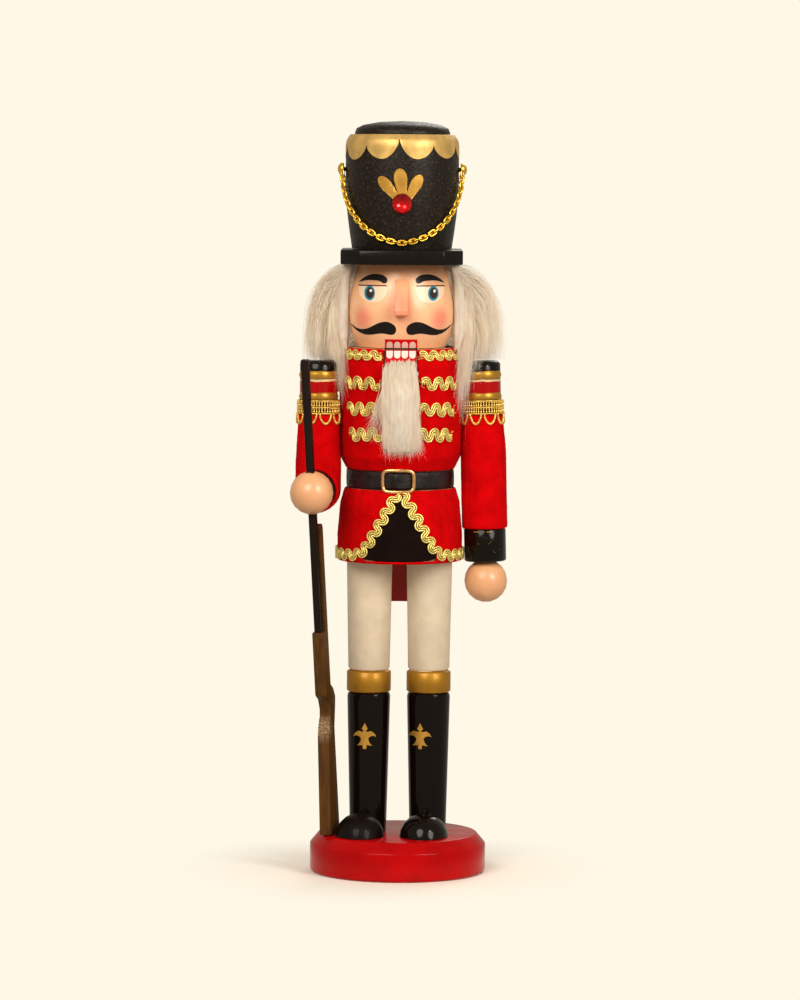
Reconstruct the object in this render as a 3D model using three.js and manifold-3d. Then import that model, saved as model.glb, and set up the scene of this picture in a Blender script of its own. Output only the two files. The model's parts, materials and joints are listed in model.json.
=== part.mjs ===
// A wooden nutcracker soldier in millimetres: +Z up, the figure faces -Y, left means -X.
// The origin is the centre of the underside of the round base.
import * as THREE from "three";
import { mergeVertices } from "three/addons/utils/BufferGeometryUtils.js";
import Module from "manifold-3d";

const wasm = await Module();
wasm.setup();

// Clearances and stock
const gap = 0.3;
const jawClearance = 0.5;
const feltThickness = 1.2;
const trimThickness = 0.8;
const roundSides = 36;
const legSides = 24;
const armSides = 20;

// Base
const baseRadius = 45;
const baseHeight = 19.9;
const baseBevelWidth = 4.6;
const baseBevelHeight = 5.5;
const baseEdgeRound = 1.8;

// Legs, each turned in one piece
const legSpacing = 30.6;
const bootFootRadius = 9.3;
const bootTopRadius = 11;
const bootHeight = 71.9;
const kneeBandRadius = 11.3;
const kneeBandHeight = 11.6;
const thighLowRadius = 10.6;
const thighTopRadius = 11.7;
const thighHeight = 57.7;
const turnedRound = 1;

// Feet
const footHalfWidth = 12.4;
const footLength = 28;
const footHeight = 11.6;
const footForward = 17.5;
const footTurn = 3;
const footSpread = 1;

// Fasteners and dowels
const screwRadius = 1.9;
const screwLength = 38;
const screwHeadRadius = 4;
const screwHeadHeight = 2.4;
const screwHeadDepth = 1.2;
const legDowelRadius = 4;
const legDowelLength = 28;
const neckDowelRadius = 3;
const neckDowelLength = 22;
const neckDowelSpacing = 34;
const hatDowelRadius = 4;
const hatDowelLength = 27;
const shoulderDowelRadius = 3;
const shoulderDowelLength = 15;
const wristDowelRadius = 2.5;
const wristDowelLength = 12;
const forearmDowelDepth = 5;
const pinRadius = 1.5;
const pinLength = 56;

// Coat outside, from the hem up to the collar
const hemDrop = 1.3;
const hemRadius = 31.6;
const hipRadius = 30.2;
const waistRadius = 28;
const beltSeatRadius = 27.3;
const chestRadius = 31;
const shoulderRadius = 30;
const collarRadius = 28;
const skirtHeight = 37.2;
const beltHeight = 9.3;
const chestHeight = 62;
const beltThickness = 1;
const beltProud = 0.3;

// Buckle
const buckleWidth = 18;
const buckleHeight = 12.9;
const buckleWire = 1.5;
const buckleCorner = 2.6;
const buckleShift = -1;

// Black front panel
const panelHalfWidth = 18.2;
const panelShoulder = 5;
const panelRaise = 1.4;
const panelApexDrop = 3;

// Braids
const braidWave = 6;
const braidScallop = 1.6;
const braidInset = 1.7;
const chestBraidHeight = 7.4;
const collarBraidHeight = 5.4;
const edgeBraidHeight = 6.8;
const chestBraidEnds = [61, 57.5, 54.5];
const collarBraidEnd = 72;
const firstRowDrop = 17.6;
const rowSpacing = 12.9;
const edgeBraidSpread = 42;
const edgeBraidRaise = 4.3;

// Jaw and lever, one board on a cross pin
const jawWidth = 15.8;
const jawInset = 0.1;
const jawHeadroom = 0.5;
const jawHeight = 38;
const jawOpenAngle = 22;
const toothRidge = 6.5;
const pocketDepth = 10;
const pivotBack = 4;
const pivotDrop = 26.5;
const pivotCheek = 10;
const leverProud = 3.4;
const leverDepth = 11;
const leverTail = 24;
const leverShoulderDrop = 23;

// Beard and hair
const beardHeight = 44;
const beardTop = 7.5;
const beardRows = [
  [0, 7.6, 3.6],
  [0.14, 8.8, 6],
  [0.34, 9.7, 7.8],
  [0.55, 9.6, 8.2],
  [0.75, 8.6, 7.4],
  [0.9, 7.2, 5.8],
  [1, 5.2, 3.6],
];
const hairOpening = 72;
const hairSide = 22.5;
const hairBack = 11;
const hairHem = 0.6;

// Head
const headLowRadius = 22.5;
const headRadius = 27.6;
const headTopRadius = 22.9;
const headHeight = 41.9;
const noseWidth = 6.4;
const noseHeight = 18.4;
const noseRise = 16.4;
const noseLength = 7;

// Hat
const brimHalfWidth = 30.9;
const brimFront = 34;
const brimClip = 9.7;
const brimThickness = 7.5;
const brimBevel = 0.7;
const crownLowRadius = 25.4;
const crownTopRadius = 28.8;
const crownHeight = 57.7;
const crownRound = 5.5;
const crownDomeRadius = 24.2;
const crownDomeHeight = 7;
const studRadius = 3.5;
const studHeight = 2.2;
const studNeckRadius = 0.9;
const studNeckLength = 1.6;
const studPinLength = 8;
const studBelowTop = 17.6;
const jewelRadius = 5.1;
const jewelHeight = 3;
const jewelBelowTop = 34.6;
const chainSag = 36.6;
const chainWire = 0.95;
const linkWidth = 3.4;
const linkCount = 41;

// Arms
const sleeveTopRadius = 10;
const sleeveRadius = 11.4;
const armTopDrop = 6.6;
const armLean = 1.6;
const capHeight = 5.5;
const capRadius = 9.6;
const bandRadius = 9.6;
const ringRadius = 10.1;
const ringHeight = 3.6;
const bandHeight = 7.4;
const trimBandHeight = 7;
const sleeveLength = 58.1;
const cuffLength = 16.6;
const cuffRadius = 10.7;
const handRadius = 11.1;
const handSeat = 0.9;
const fringeDrop = 5.4;
const fringeCord = 0.8;
const fringeLoops = 9;
const shoulderDrop = 19.5;
const leftArmForward = 14.3;
const elbowDrop = 65.4;
const forearmReach = 27.7;
const forearmTurn = 5.8;
const forearmSleeve = 12.6;

// Rifle, along its own length from the butt
const barrelSide = 3.7;
const barrelStart = 106.4;
const barrelEnd = 247;
const stockLength = 161.6;
const stockThickness = 6;
const stockForeDepth = 8.7;
const stockButtFront = -4.9;
const stockButtBack = 11.4;
const stockTurn = 15;
// The stock's wrist: [share of the stock's length, depth] down its front and its back
const gripFront = [
  [0.319, 0.4],
  [0.355, 2.6],
  [0.377, 5.6],
  [0.402, 6.2],
  [0.433, 4.4],
  [0.454, 0],
];
const gripBack = [
  [0.48, 0],
  [0.459, 4.5],
  [0.431, 7.2],
  [0.396, 6],
];
const buttShare = 0.333;
const rifleFootGap = 0.4;
const buttBack = 12;

// Heights worked out from the sizes above
const legBottom = baseHeight + gap;
const legHeight = bootHeight + kneeBandHeight + thighHeight;
const legTop = legBottom + legHeight;
const torsoBottom = legTop + gap;
const hemZ = torsoBottom - hemDrop;
const beltZ = hemZ + skirtHeight;
const chestZ = beltZ + beltHeight;
const collarZ = chestZ + chestHeight;
const headBottom = collarZ + gap;
const headTop = headBottom + headHeight;
const brimBottom = headTop + gap;
const brimTop = brimBottom + brimThickness;
const crownBottom = brimTop + gap;
const crownTop = crownBottom + crownHeight;
const legX = legSpacing / 2;
const slotHalf = jawWidth / 2 + jawClearance;
const rad = THREE.MathUtils.degToRad;

// A manifold solid from a three.js geometry, whichever way its faces turn.
function solid(geometry) {
  const bare = new THREE.BufferGeometry();
  bare.setAttribute("position", geometry.getAttribute("position").clone());
  if (geometry.index) bare.setIndex(geometry.index.clone());
  const merged = mergeVertices(bare, 1e-4);
  const corners = merged.index.array;
  const kept = [];
  for (let i = 0; i < corners.length; i += 3) {
    const [a, b, c] = corners.slice(i, i + 3);
    if (a !== b && b !== c && a !== c) kept.push(a, b, c);
  }
  const vertProperties = new Float32Array(merged.attributes.position.array);
  let triVerts = new Uint32Array(kept);
  if (signedVolume(vertProperties, triVerts) < 0) triVerts = triVerts.reverse();
  return new wasm.Manifold(new wasm.Mesh({ numProp: 3, vertProperties, triVerts }));
}

function signedVolume(points, corners) {
  const at = (i) => new THREE.Vector3().fromArray(points, 3 * i);
  let sum = 0;
  for (let i = 0; i < corners.length; i += 3) {
    const [a, b, c] = [at(corners[i]), at(corners[i + 1]), at(corners[i + 2])];
    sum += a.dot(b.cross(c)) / 6;
  }
  return sum;
}

function geometryOf(made) {
  const mesh = made.getMesh();
  const points = new Float32Array(3 * mesh.numVert);
  for (let i = 0; i < mesh.numVert; i++) {
    const from = i * mesh.numProp;
    points.set(mesh.vertProperties.subarray(from, from + 3), 3 * i);
  }
  const geometry = new THREE.BufferGeometry();
  geometry.setAttribute("position", new THREE.BufferAttribute(points, 3));
  geometry.setIndex(new THREE.BufferAttribute(new Uint32Array(mesh.triVerts), 1));
  geometry.computeVertexNormals();
  return geometry;
}

const cut = (body, ...tools) => tools.reduce((left, tool) => left.subtract(tool), body);
const join = (...bodies) => bodies.reduce((sum, body) => sum.add(body));

// A profile of [radius, height] pairs turned about Z.
function turned(profile, sides = roundSides) {
  const points = profile.map(([r, z]) => new THREE.Vector2(r, z));
  return new THREE.LatheGeometry(points, sides).rotateX(Math.PI / 2);
}

// A ring whose inside and outside follow the same heights.
function ring(outside, inside, sides = roundSides) {
  const back = [...inside].reverse();
  return turned([...outside, ...back, outside[0]], sides);
}

// An outline of [y, z] pairs made thick along X, centred on the middle plane.
function board(outline, thickness) {
  const shape = new THREE.Shape(outline.map(([y, z]) => new THREE.Vector2(y, z)));
  const geometry = new THREE.ExtrudeGeometry(shape, { depth: thickness, bevelEnabled: false });
  geometry.translate(0, 0, -thickness / 2);
  const axes = new THREE.Matrix4().set(0, 0, 1, 0, 1, 0, 0, 0, 0, 1, 0, 0, 0, 0, 0, 1);
  return geometry.applyMatrix4(axes);
}

// A round rod from one point to another.
function rod(from, to, radius, sides = 12) {
  const along = new THREE.Vector3().subVectors(to, from);
  const geometry = new THREE.CylinderGeometry(radius, radius, along.length(), sides);
  const up = new THREE.Vector3(0, 1, 0);
  const turn = new THREE.Quaternion().setFromUnitVectors(up, along.clone().normalize());
  geometry.applyQuaternion(turn);
  const middle = new THREE.Vector3().addVectors(from, to).multiplyScalar(0.5);
  return geometry.translate(middle.x, middle.y, middle.z);
}

const point = (x, y, z) => new THREE.Vector3(x, y, z);
const ball = (radius, centre, sides = 18) =>
  new THREE.SphereGeometry(radius, sides, sides / 2).translate(centre.x, centre.y, centre.z);

// A closed skin through sections of equally many points, with a fan over each end.
function loft(sections, endless = false) {
  const count = sections[0].length;
  const points = sections.flat();
  const corners = [];
  const spans = endless ? sections.length : sections.length - 1;
  for (let i = 0; i < spans; i++) {
    for (let j = 0; j < count; j++) {
      const here = i * count;
      const next = ((i + 1) % sections.length) * count;
      const k = (j + 1) % count;
      corners.push(here + j, here + k, next + k, here + j, next + k, next + j);
    }
  }
  if (!endless) {
    closeEnd(points, corners, 0, count, true);
    closeEnd(points, corners, (sections.length - 1) * count, count, false);
  }
  const geometry = new THREE.BufferGeometry().setFromPoints(points);
  geometry.setIndex(corners);
  return geometry;
}

function closeEnd(points, corners, start, count, first) {
  const middle = new THREE.Vector3();
  for (let j = 0; j < count; j++) middle.addScaledVector(points[start + j], 1 / count);
  const centre = points.push(middle) - 1;
  for (let j = 0; j < count; j++) {
    const k = (j + 1) % count;
    if (first) corners.push(centre, start + k, start + j);
    else corners.push(centre, start + j, start + k);
  }
}

// A round tube along points, whose sections stay square to the path.
function tube(path, radius, sides, endless = false) {
  const last = path.length - 1;
  let side = new THREE.Vector3(0.3, 0.9, 0.2);
  const sections = path.map((centre, i) => {
    const before = path[i > 0 ? i - 1 : endless ? last : 0];
    const after = path[i < last ? i + 1 : endless ? 0 : last];
    const along = new THREE.Vector3().subVectors(after, before).normalize();
    side = side.clone().addScaledVector(along, -side.dot(along)).normalize();
    const other = new THREE.Vector3().crossVectors(along, side);
    return Array.from({ length: sides }, (_, j) => {
      const turn = (2 * Math.PI * j) / sides;
      return centre
        .clone()
        .addScaledVector(side, radius * Math.cos(turn))
        .addScaledVector(other, radius * Math.sin(turn));
    });
  });
  return loft(sections, endless);
}

// Coat outside as [radius, height] pairs between two heights.
const coatOutline = [
  [hemRadius, hemZ],
  [hemRadius, hemZ + 0.36 * skirtHeight],
  [hipRadius, hemZ + 0.8 * skirtHeight],
  [waistRadius, beltZ - gap],
  [beltSeatRadius, chestZ + gap],
  [(beltSeatRadius + 9 * chestRadius) / 10, chestZ + 0.11 * chestHeight],
  [chestRadius, chestZ + 0.22 * chestHeight],
  [chestRadius, chestZ + 0.86 * chestHeight],
  [shoulderRadius, chestZ + 0.93 * chestHeight],
  [collarRadius, collarZ],
];

function coatRadius(z) {
  const next = coatOutline.findIndex(([, height]) => height >= z);
  if (next === 0) return coatOutline[0][0];
  if (next < 0) return collarRadius;
  const [r0, z0] = coatOutline[next - 1];
  const [r1, z1] = coatOutline[next];
  return r0 + ((r1 - r0) * (z - z0)) / (z1 - z0);
}

function coatBetween(low, high, inset = 0) {
  const inner = coatOutline.filter(([, z]) => z > low + 0.01 && z < high - 0.01);
  const ends = [low, high].map((z) => [coatRadius(z), z]);
  const all = [ends[0], ...inner, ends[1]];
  return all.map(([r, z]) => [r - inset, z]);
}

// A point on the coat: angle in degrees from the front towards +X, and lift off the felt.
function onCoat(angle, z, lift) {
  const r = coatRadius(z) + lift;
  return point(r * Math.sin(rad(angle)), -r * Math.cos(rad(angle)), z);
}

const root = new THREE.Group();
const slots = {
  redPaint: { color: 0xb0080c, roughness: 0.25 },
  redFelt: { color: 0xc00a0e, roughness: 0.95 },
  blackPaint: { color: 0x0a0a0c, roughness: 0.2 },
  blackFelt: { color: 0x100c0c, roughness: 0.95 },
  leather: { color: 0x151210, roughness: 0.5 },
  creamPaint: { color: 0xdfc8a6, roughness: 0.4 },
  skinPaint: { color: 0xf2b98a, roughness: 0.3 },
  goldBraid: { color: 0xd7a23a, roughness: 0.35, metalness: 0.9 },
  brass: { color: 0xd9a441, roughness: 0.25, metalness: 1 },
  steel: { color: 0xa9a9ad, roughness: 0.35, metalness: 1 },
  bareWood: { color: 0xc79a63, roughness: 0.7 },
  rifleWood: { color: 0x5a2f17, roughness: 0.5 },
  fur: { color: 0xeee6da, roughness: 0.9 },
  jewel: { color: 0xb00010, roughness: 0.05 },
};

function add(name, made, slot) {
  const mesh = new THREE.Mesh(geometryOf(made), new THREE.MeshStandardMaterial(slots[slot]));
  mesh.name = name;
  root.add(mesh);
}

// Both sides of the figure: the sign of X and the word in the node's name.
const sides = [
  [-1, "left"],
  [1, "right"],
];

// Base with a turned bevel, a rounded foot edge and a counterbored hole under each leg.
function makeBase() {
  const round = [0, 1, 2, 3].map((step) => {
    const turn = (step / 3) * (Math.PI / 2);
    const r = baseRadius - baseEdgeRound * (1 - Math.sin(turn));
    return [r, baseEdgeRound * (1 - Math.cos(turn))];
  });
  const body = turned(
    [
      [0, 0],
      ...round,
      [baseRadius, baseHeight - baseBevelHeight],
      [baseRadius - baseBevelWidth, baseHeight],
      [0, baseHeight],
    ],
    44,
  );
  const holes = sides.map(([side]) =>
    solid(
      turned([
        [0, -1],
        [screwHeadRadius + gap, -1],
        [screwHeadRadius + gap, screwHeadDepth + screwHeadHeight + gap],
        [screwRadius + gap, screwHeadDepth + screwHeadHeight + gap],
        [screwRadius + gap, baseHeight + 1],
        [0, baseHeight + 1],
      ], 14).translate(side * legX, 0, 0),
    ),
  );
  add("base", cut(solid(body), ...holes), "redPaint");
}

// A wood screw with a flat head, from under the base up into the leg.
function makeBaseScrews() {
  for (const [side, word] of sides) {
    const screw = turned([
      [0, screwHeadDepth],
      [screwHeadRadius, screwHeadDepth],
      [screwHeadRadius, screwHeadDepth + screwHeadHeight],
      [screwRadius, screwHeadDepth + screwHeadHeight],
      [screwRadius, screwHeadDepth + screwLength - 3],
      [0, screwHeadDepth + screwLength],
    ], 14);
    screw.translate(side * legX, 0, 0);
    add("base_screw_" + word, solid(screw), "steel");
  }
}

function bootRadiusAt(height) {
  return bootFootRadius + ((bootTopRadius - bootFootRadius) * height) / bootHeight;
}

// Boot, knee band and thigh in one turning, with a groove on each side of the band.
function legProfile() {
  const band = bootHeight;
  const thigh = bootHeight + kneeBandHeight;
  return [
    [0, 0],
    [bootFootRadius, 0],
    [bootTopRadius, bootHeight - 2 * turnedRound],
    [bootTopRadius - turnedRound / 3, bootHeight - turnedRound / 2],
    [bootTopRadius - 1.5 * turnedRound, band],
    [kneeBandRadius - turnedRound / 2, band + turnedRound / 2],
    [kneeBandRadius, band + turnedRound],
    [kneeBandRadius, thigh - turnedRound],
    [kneeBandRadius - turnedRound / 2, thigh - turnedRound / 2],
    [thighLowRadius - turnedRound, thigh],
    [thighLowRadius, thigh + turnedRound],
    [thighTopRadius, legHeight],
    [0, legHeight],
  ];
}

function makeLegs() {
  for (const [side, word] of sides) {
    const body = solid(turned(legProfile(), legSides).translate(side * legX, 0, legBottom));
    const x = side * legX;
    const screwTop = screwHeadDepth + screwLength + gap;
    const screwHole = rod(point(x, 0, legBottom - 1), point(x, 0, screwTop), screwRadius + gap);
    const low = legTop - legDowelLength / 2;
    const dowelHole = rod(point(x, 0, low), point(x, 0, legTop + 1), legDowelRadius + gap);
    add("leg_" + word, cut(body, solid(screwHole), solid(dowelHole)), "creamPaint");
    const dowelLow = low + gap;
    const dowel = rod(point(x, 0, dowelLow), point(x, 0, dowelLow + legDowelLength), legDowelRadius);
    add("leg_dowel_" + word, solid(dowel), "bareWood");
  }
}

// A foot is half an egg, scooped at the back to sit against the boot.
function makeFeet() {
  const quarter = Array.from({ length: 6 }, (_, i) => {
    const turn = (i / 5) * (Math.PI / 2);
    return [Math.cos(turn), Math.sin(turn)];
  });
  quarter[5][0] = 0;
  for (const [side, word] of sides) {
    const foot = turned([[0, 0], ...quarter], 24);
    foot.scale(footHalfWidth, footLength / 2, footHeight);
    foot.translate(side * (legX + footSpread) - footTurn, -footForward, legBottom);
    const x = side * legX;
    const clear = bootRadiusAt(footHeight) + gap;
    const boot = rod(point(x, 0, baseHeight), point(x, 0, legBottom + footHeight + 1), clear, legSides);
    add("foot_" + word, cut(solid(foot), solid(boot)), "blackPaint");
  }
}

// Jaw and lever geometry in the YZ plane
const jawFront = -(chestRadius - jawInset);
const jawTop = headBottom - jawHeadroom;
const pivotZ = headBottom - pivotDrop;
const leverBack = hemRadius + leverProud;
const leverFront = leverBack - leverDepth;
const tailZ = hemZ - leverTail;
const jawLow = jawTop - jawHeight;
const underside = pivotZ - pivotCheek;
const leverTop = pivotZ + pivotCheek;

// The lowest point that the open jaw's front corner reaches, with room to spare.
function slotFloor() {
  const open = rad(jawOpenAngle);
  const reach = pivotBack - jawFront;
  const drop = pivotZ - jawLow;
  return pivotZ - reach * Math.sin(open) - drop * Math.cos(open) - 3 * jawClearance;
}

function slotSolid() {
  const far = 2 * baseRadius;
  const floor = slotFloor();
  const behind = leverFront - jawClearance;
  const outline = [
    [-far, floor],
    [jawFront + toothRidge + 4 * jawClearance, floor],
    [pivotBack + 2, underside - 4],
    [pivotBack + pivotCheek, underside - 4],
    [behind, underside - 4 - pivotCheek],
    [behind, tailZ],
    [far, tailZ],
    [far, collarZ + 5],
    [-far, collarZ + 5],
  ];
  return solid(board(outline, 2 * slotHalf));
}

function makeJaw() {
  const pocket = jawTop - pocketDepth;
  const outline = [
    [jawFront, jawLow],
    [pivotBack - pivotCheek, underside],
    [pivotBack + pivotCheek, underside],
    [leverFront, underside - pivotCheek],
    [leverFront, tailZ],
    [leverBack - 1, tailZ],
    [leverBack, tailZ + 1],
    [leverBack, collarZ - leverShoulderDrop],
    [leverBack - 3, leverTop - 3],
    [pivotBack + pivotCheek, leverTop + 2],
    [pivotBack - pivotCheek, pocket - 1],
    [jawFront + toothRidge + 2, pocket],
    [jawFront + toothRidge, jawTop],
    [jawFront, jawTop],
  ];
  add("jaw_lever", cut(solid(board(outline, jawWidth)), pinRod(gap)), "redPaint");
  add("pivot_pin", pinRod(0), "steel");
}

// The beard hangs from the front of the jaw below the teeth.
function makeBeard() {
  const back = jawFront - gap;
  const top = jawTop - beardTop;
  const sections = beardRows.map(([share, half, depth]) =>
    Array.from({ length: 9 }, (_, j) => {
      const turn = (j / 8) * Math.PI;
      return point(half * Math.cos(turn), back - depth * Math.sin(turn), top - beardHeight * share);
    }),
  );
  add("beard", solid(loft(sections)), "fur");
}

// The turned torso under the felt, slotted from front to back for the jaw.
function torsoBlank() {
  const inset = feltThickness + gap;
  const low = coatBetween(torsoBottom, beltZ, inset);
  const high = coatBetween(chestZ, collarZ, inset);
  const seat = beltSeatRadius + beltProud - beltThickness - gap;
  const waist = [
    [Math.min(seat, low.at(-1)[0]), beltZ],
    [Math.min(seat, high[0][0]), chestZ],
  ];
  return solid(turned([[0, torsoBottom], ...low.slice(0, -1), ...waist, ...high.slice(1), [0, collarZ]]));
}

const trimOuterRadius = sleeveTopRadius + gap + fringeCord;
const leftReach = chestRadius + 2 * gap + Math.max(sleeveRadius, trimOuterRadius);
const rightReach = chestRadius + gap + ringRadius;
const armAxes = sides.map(([side]) => {
  const reach = side < 0 ? leftReach : rightReach;
  const turn = side < 0 ? rad(leftArmForward) : 0;
  return point(side * reach * Math.cos(turn), -reach * Math.sin(turn), 0);
});
const armTop = collarZ - armTopDrop;
const shoulderZ = collarZ - shoulderDrop;

// Ends of a shoulder dowel, from inside the arm to inside the torso.
function shoulderDowel(arm, spare) {
  const inward = armAxes[arm].clone().normalize().negate();
  const start = armAxes[arm].clone().addScaledVector(inward, 2 - spare);
  const end = start.clone().addScaledVector(inward, shoulderDowelLength + 2 * spare);
  start.z = shoulderZ;
  end.z = shoulderZ;
  return [start, end];
}

// The right arm hangs from its dowel with its hand a little out from the coat.
function leanRightArm(made) {
  const { x, y } = armAxes[1];
  return made.translate([-x, -y, -shoulderZ]).rotate([0, -armLean, 0]).translate([x, y, shoulderZ]);
}

// The room that the coat takes up, where a sleeve is pressed against it.
function coatRoom() {
  return solid(turned([[0, hemZ], ...coatBetween(hemZ, collarZ, -gap), [0, collarZ]]));
}

function shoulderHole(arm) {
  const [start, end] = shoulderDowel(arm, gap);
  return solid(rod(start, end, shoulderDowelRadius + gap));
}

function pinRod(spare) {
  const half = pinLength / 2 + spare;
  return solid(rod(point(-half, pivotBack, pivotZ), point(half, pivotBack, pivotZ), pinRadius + spare));
}

function makeTorso() {
  const legHoles = sides.map(([side]) => {
    const x = side * legX;
    const top = torsoBottom + legDowelLength / 2 + gap;
    return solid(rod(point(x, 0, torsoBottom - 1), point(x, 0, top), legDowelRadius + gap));
  });
  const neckHoles = sides.map(([side]) => neckHole(side));
  const body = cut(torsoBlank(), slotSolid(), pinRod(gap), ...legHoles, ...neckHoles);
  add("torso", cut(body, shoulderHole(0), shoulderHole(1)), "redPaint");
}

function neckHole(side) {
  const x = (side * neckDowelSpacing) / 2;
  const half = neckDowelLength / 2 + gap;
  const from = point(x, 0, headBottom - half);
  return solid(rod(from, point(x, 0, headBottom + half), neckDowelRadius + gap));
}

function feltBetween(low, high) {
  return solid(ring(coatBetween(low, high), coatBetween(low, high, feltThickness)));
}

function panelPrism(spare) {
  const wide = panelHalfWidth + spare;
  const shoulder = hemZ + panelShoulder;
  const top = beltZ - panelApexDrop + spare;
  const outline = [
    [-wide, hemZ + panelRaise - spare],
    [wide, hemZ + panelRaise - spare],
    [wide, shoulder],
    [spare + 1, top],
    [-spare - 1, top],
    [-wide, shoulder],
  ];
  const shape = new THREE.Shape(outline.map(([x, z]) => new THREE.Vector2(x, z)));
  const geometry = new THREE.ExtrudeGeometry(shape, { depth: baseRadius, bevelEnabled: false });
  return solid(geometry.rotateX(Math.PI / 2));
}

// Felt coat: the chest part, the skirt with its black front panel, and the belt between them.
function makeCoat() {
  const upper = feltBetween(chestZ + gap, collarZ);
  const holes = [shoulderHole(0), shoulderHole(1), pinRod(gap)];
  add("coat_upper", cut(upper, slotSolid(), ...holes), "redFelt");
  const skirt = cut(feltBetween(hemZ, beltZ - gap), slotSolid());
  add("coat_skirt", cut(skirt, panelPrism(gap)), "redFelt");
  add("front_panel", skirt.intersect(panelPrism(0)), "blackFelt");
  const outside = beltSeatRadius + beltProud;
  const strap = ring(
    [
      [outside, beltZ],
      [outside, beltZ + beltHeight],
    ],
    [
      [outside - beltThickness, beltZ],
      [outside - beltThickness, beltZ + beltHeight],
    ],
  );
  add("belt", cut(solid(strap), slotSolid()), "leather");
}

// The buckle is a wire frame with round corners, bent to the belt.
function makeBuckle() {
  const frame = new THREE.Shape();
  const w = (buckleWidth - buckleWire) / 2;
  const h = (buckleHeight - buckleWire) / 2;
  frame.moveTo(-w + buckleCorner, -h);
  frame.lineTo(w - buckleCorner, -h);
  frame.absarc(w - buckleCorner, -h + buckleCorner, buckleCorner, -Math.PI / 2, 0);
  frame.absarc(w - buckleCorner, h - buckleCorner, buckleCorner, 0, Math.PI / 2);
  frame.absarc(-w + buckleCorner, h - buckleCorner, buckleCorner, Math.PI / 2, Math.PI);
  frame.absarc(-w + buckleCorner, -h + buckleCorner, buckleCorner, Math.PI, 1.5 * Math.PI);
  frame.closePath();
  const middle = beltZ + beltHeight / 2;
  const edges = [middle - buckleHeight / 2, middle + buckleHeight / 2].map(coatRadius);
  const r = Math.max(beltSeatRadius + beltProud, ...edges) + gap + buckleWire / 2;
  const path = frame.getSpacedPoints(28).slice(0, -1);
  const bent = path.map((p) => {
    const turn = (p.x + buckleShift) / r;
    return point(r * Math.sin(turn), -r * Math.cos(turn), middle + p.y);
  });
  add("buckle", solid(tube(bent, buckleWire / 2, 6, true)), "brass");
}

// A gimp band on the coat, domed, its edges scalloped in turn: route(t) gives [angle, height].
function braid(route, length, height) {
  const waves = Math.max(2, Math.round(length / braidWave));
  const steps = 4 * waves;
  const ceiling = beltZ + (beltHeight - buckleHeight) / 2 - gap;
  const sections = Array.from({ length: steps + 1 }, (_, i) => {
    const t = i / steps;
    const [angle, z] = route(t);
    const [nextAngle, nextZ] = route(t + 0.5 / steps);
    const run = rad(nextAngle - angle) * coatRadius(z);
    const slant = Math.hypot(run, nextZ - z) / Math.abs(run);
    const half = (slant * (height - braidScallop)) / 2;
    const sway = (slant * braidScallop * Math.sin(2 * Math.PI * waves * t)) / 2;
    const low = z - half + sway;
    const above = z + half + sway;
    const high = z < ceiling ? Math.min(above, ceiling) : above;
    const middle = (low + high) / 2;
    const side = gap + 0.6 * trimThickness;
    return [
      onCoat(angle, low, gap),
      onCoat(angle, middle, gap),
      onCoat(angle, high, gap),
      onCoat(angle, high, side),
      onCoat(angle, middle, gap + trimThickness),
      onCoat(angle, low, side),
    ];
  });
  return solid(loft(sections));
}

function makeBraids() {
  const slotAngle = THREE.MathUtils.radToDeg(Math.asin((slotHalf + braidInset) / chestRadius));
  for (const [side, word] of sides) {
    const level = (z, end) => (t) => [side * (slotAngle + (end - slotAngle) * t), z];
    const collarRoute = level(collarZ - collarBraidHeight / 2 - gap, collarBraidEnd);
    const collarLength = rad(collarBraidEnd - slotAngle) * collarRadius;
    add("collar_braid_" + word, braid(collarRoute, collarLength, collarBraidHeight), "goldBraid");
    chestBraidEnds.forEach((end, row) => {
      const z = collarZ - firstRowDrop - row * rowSpacing;
      const made = braid(level(z, end), rad(end - slotAngle) * chestRadius, chestBraidHeight);
      add("chest_braid_" + (row + 1) + "_" + word, made, "goldBraid");
    });
    add("coat_edge_braid_" + word, edgeBraid(side), "goldBraid");
  }
}

// The edge braid runs from under the buckle down the coat opening and round the hem.
function edgeBraid(side) {
  const hemBraidZ = hemZ + edgeBraidRaise;
  const apexZ = beltZ - edgeBraidHeight / 2 - gap;
  const startAngle = THREE.MathUtils.radToDeg(braidInset / hipRadius);
  const backAngle = 180 - THREE.MathUtils.radToDeg(Math.asin((slotHalf + 2 * braidInset) / hemRadius));
  const route = (t) => {
    const angle = startAngle + (backAngle - startAngle) * t;
    const down = Math.max(0, 1 - (angle - startAngle) / (edgeBraidSpread - startAngle));
    const soft = Math.sqrt(down * down + 0.003) - Math.sqrt(0.003);
    return [side * angle, hemBraidZ + (apexZ - hemBraidZ) * soft];
  };
  const around = rad(backAngle - startAngle) * hemRadius;
  return braid(route, around * 1.12, edgeBraidHeight);
}

function headProfile(spare = 0) {
  const rows = [
    [headLowRadius, 0],
    [(headLowRadius + headRadius) / 2 + 0.7, 0.15],
    [headRadius - 0.5, 0.29],
    [headRadius, 0.42],
    [headRadius - 0.5, 0.55],
    [(headTopRadius + headRadius) / 2, 0.77],
    [headTopRadius + 0.4, 0.93],
    [headTopRadius, 1],
  ];
  return rows.map(([r, share]) => [r + spare, headBottom + share * headHeight]);
}

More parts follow.
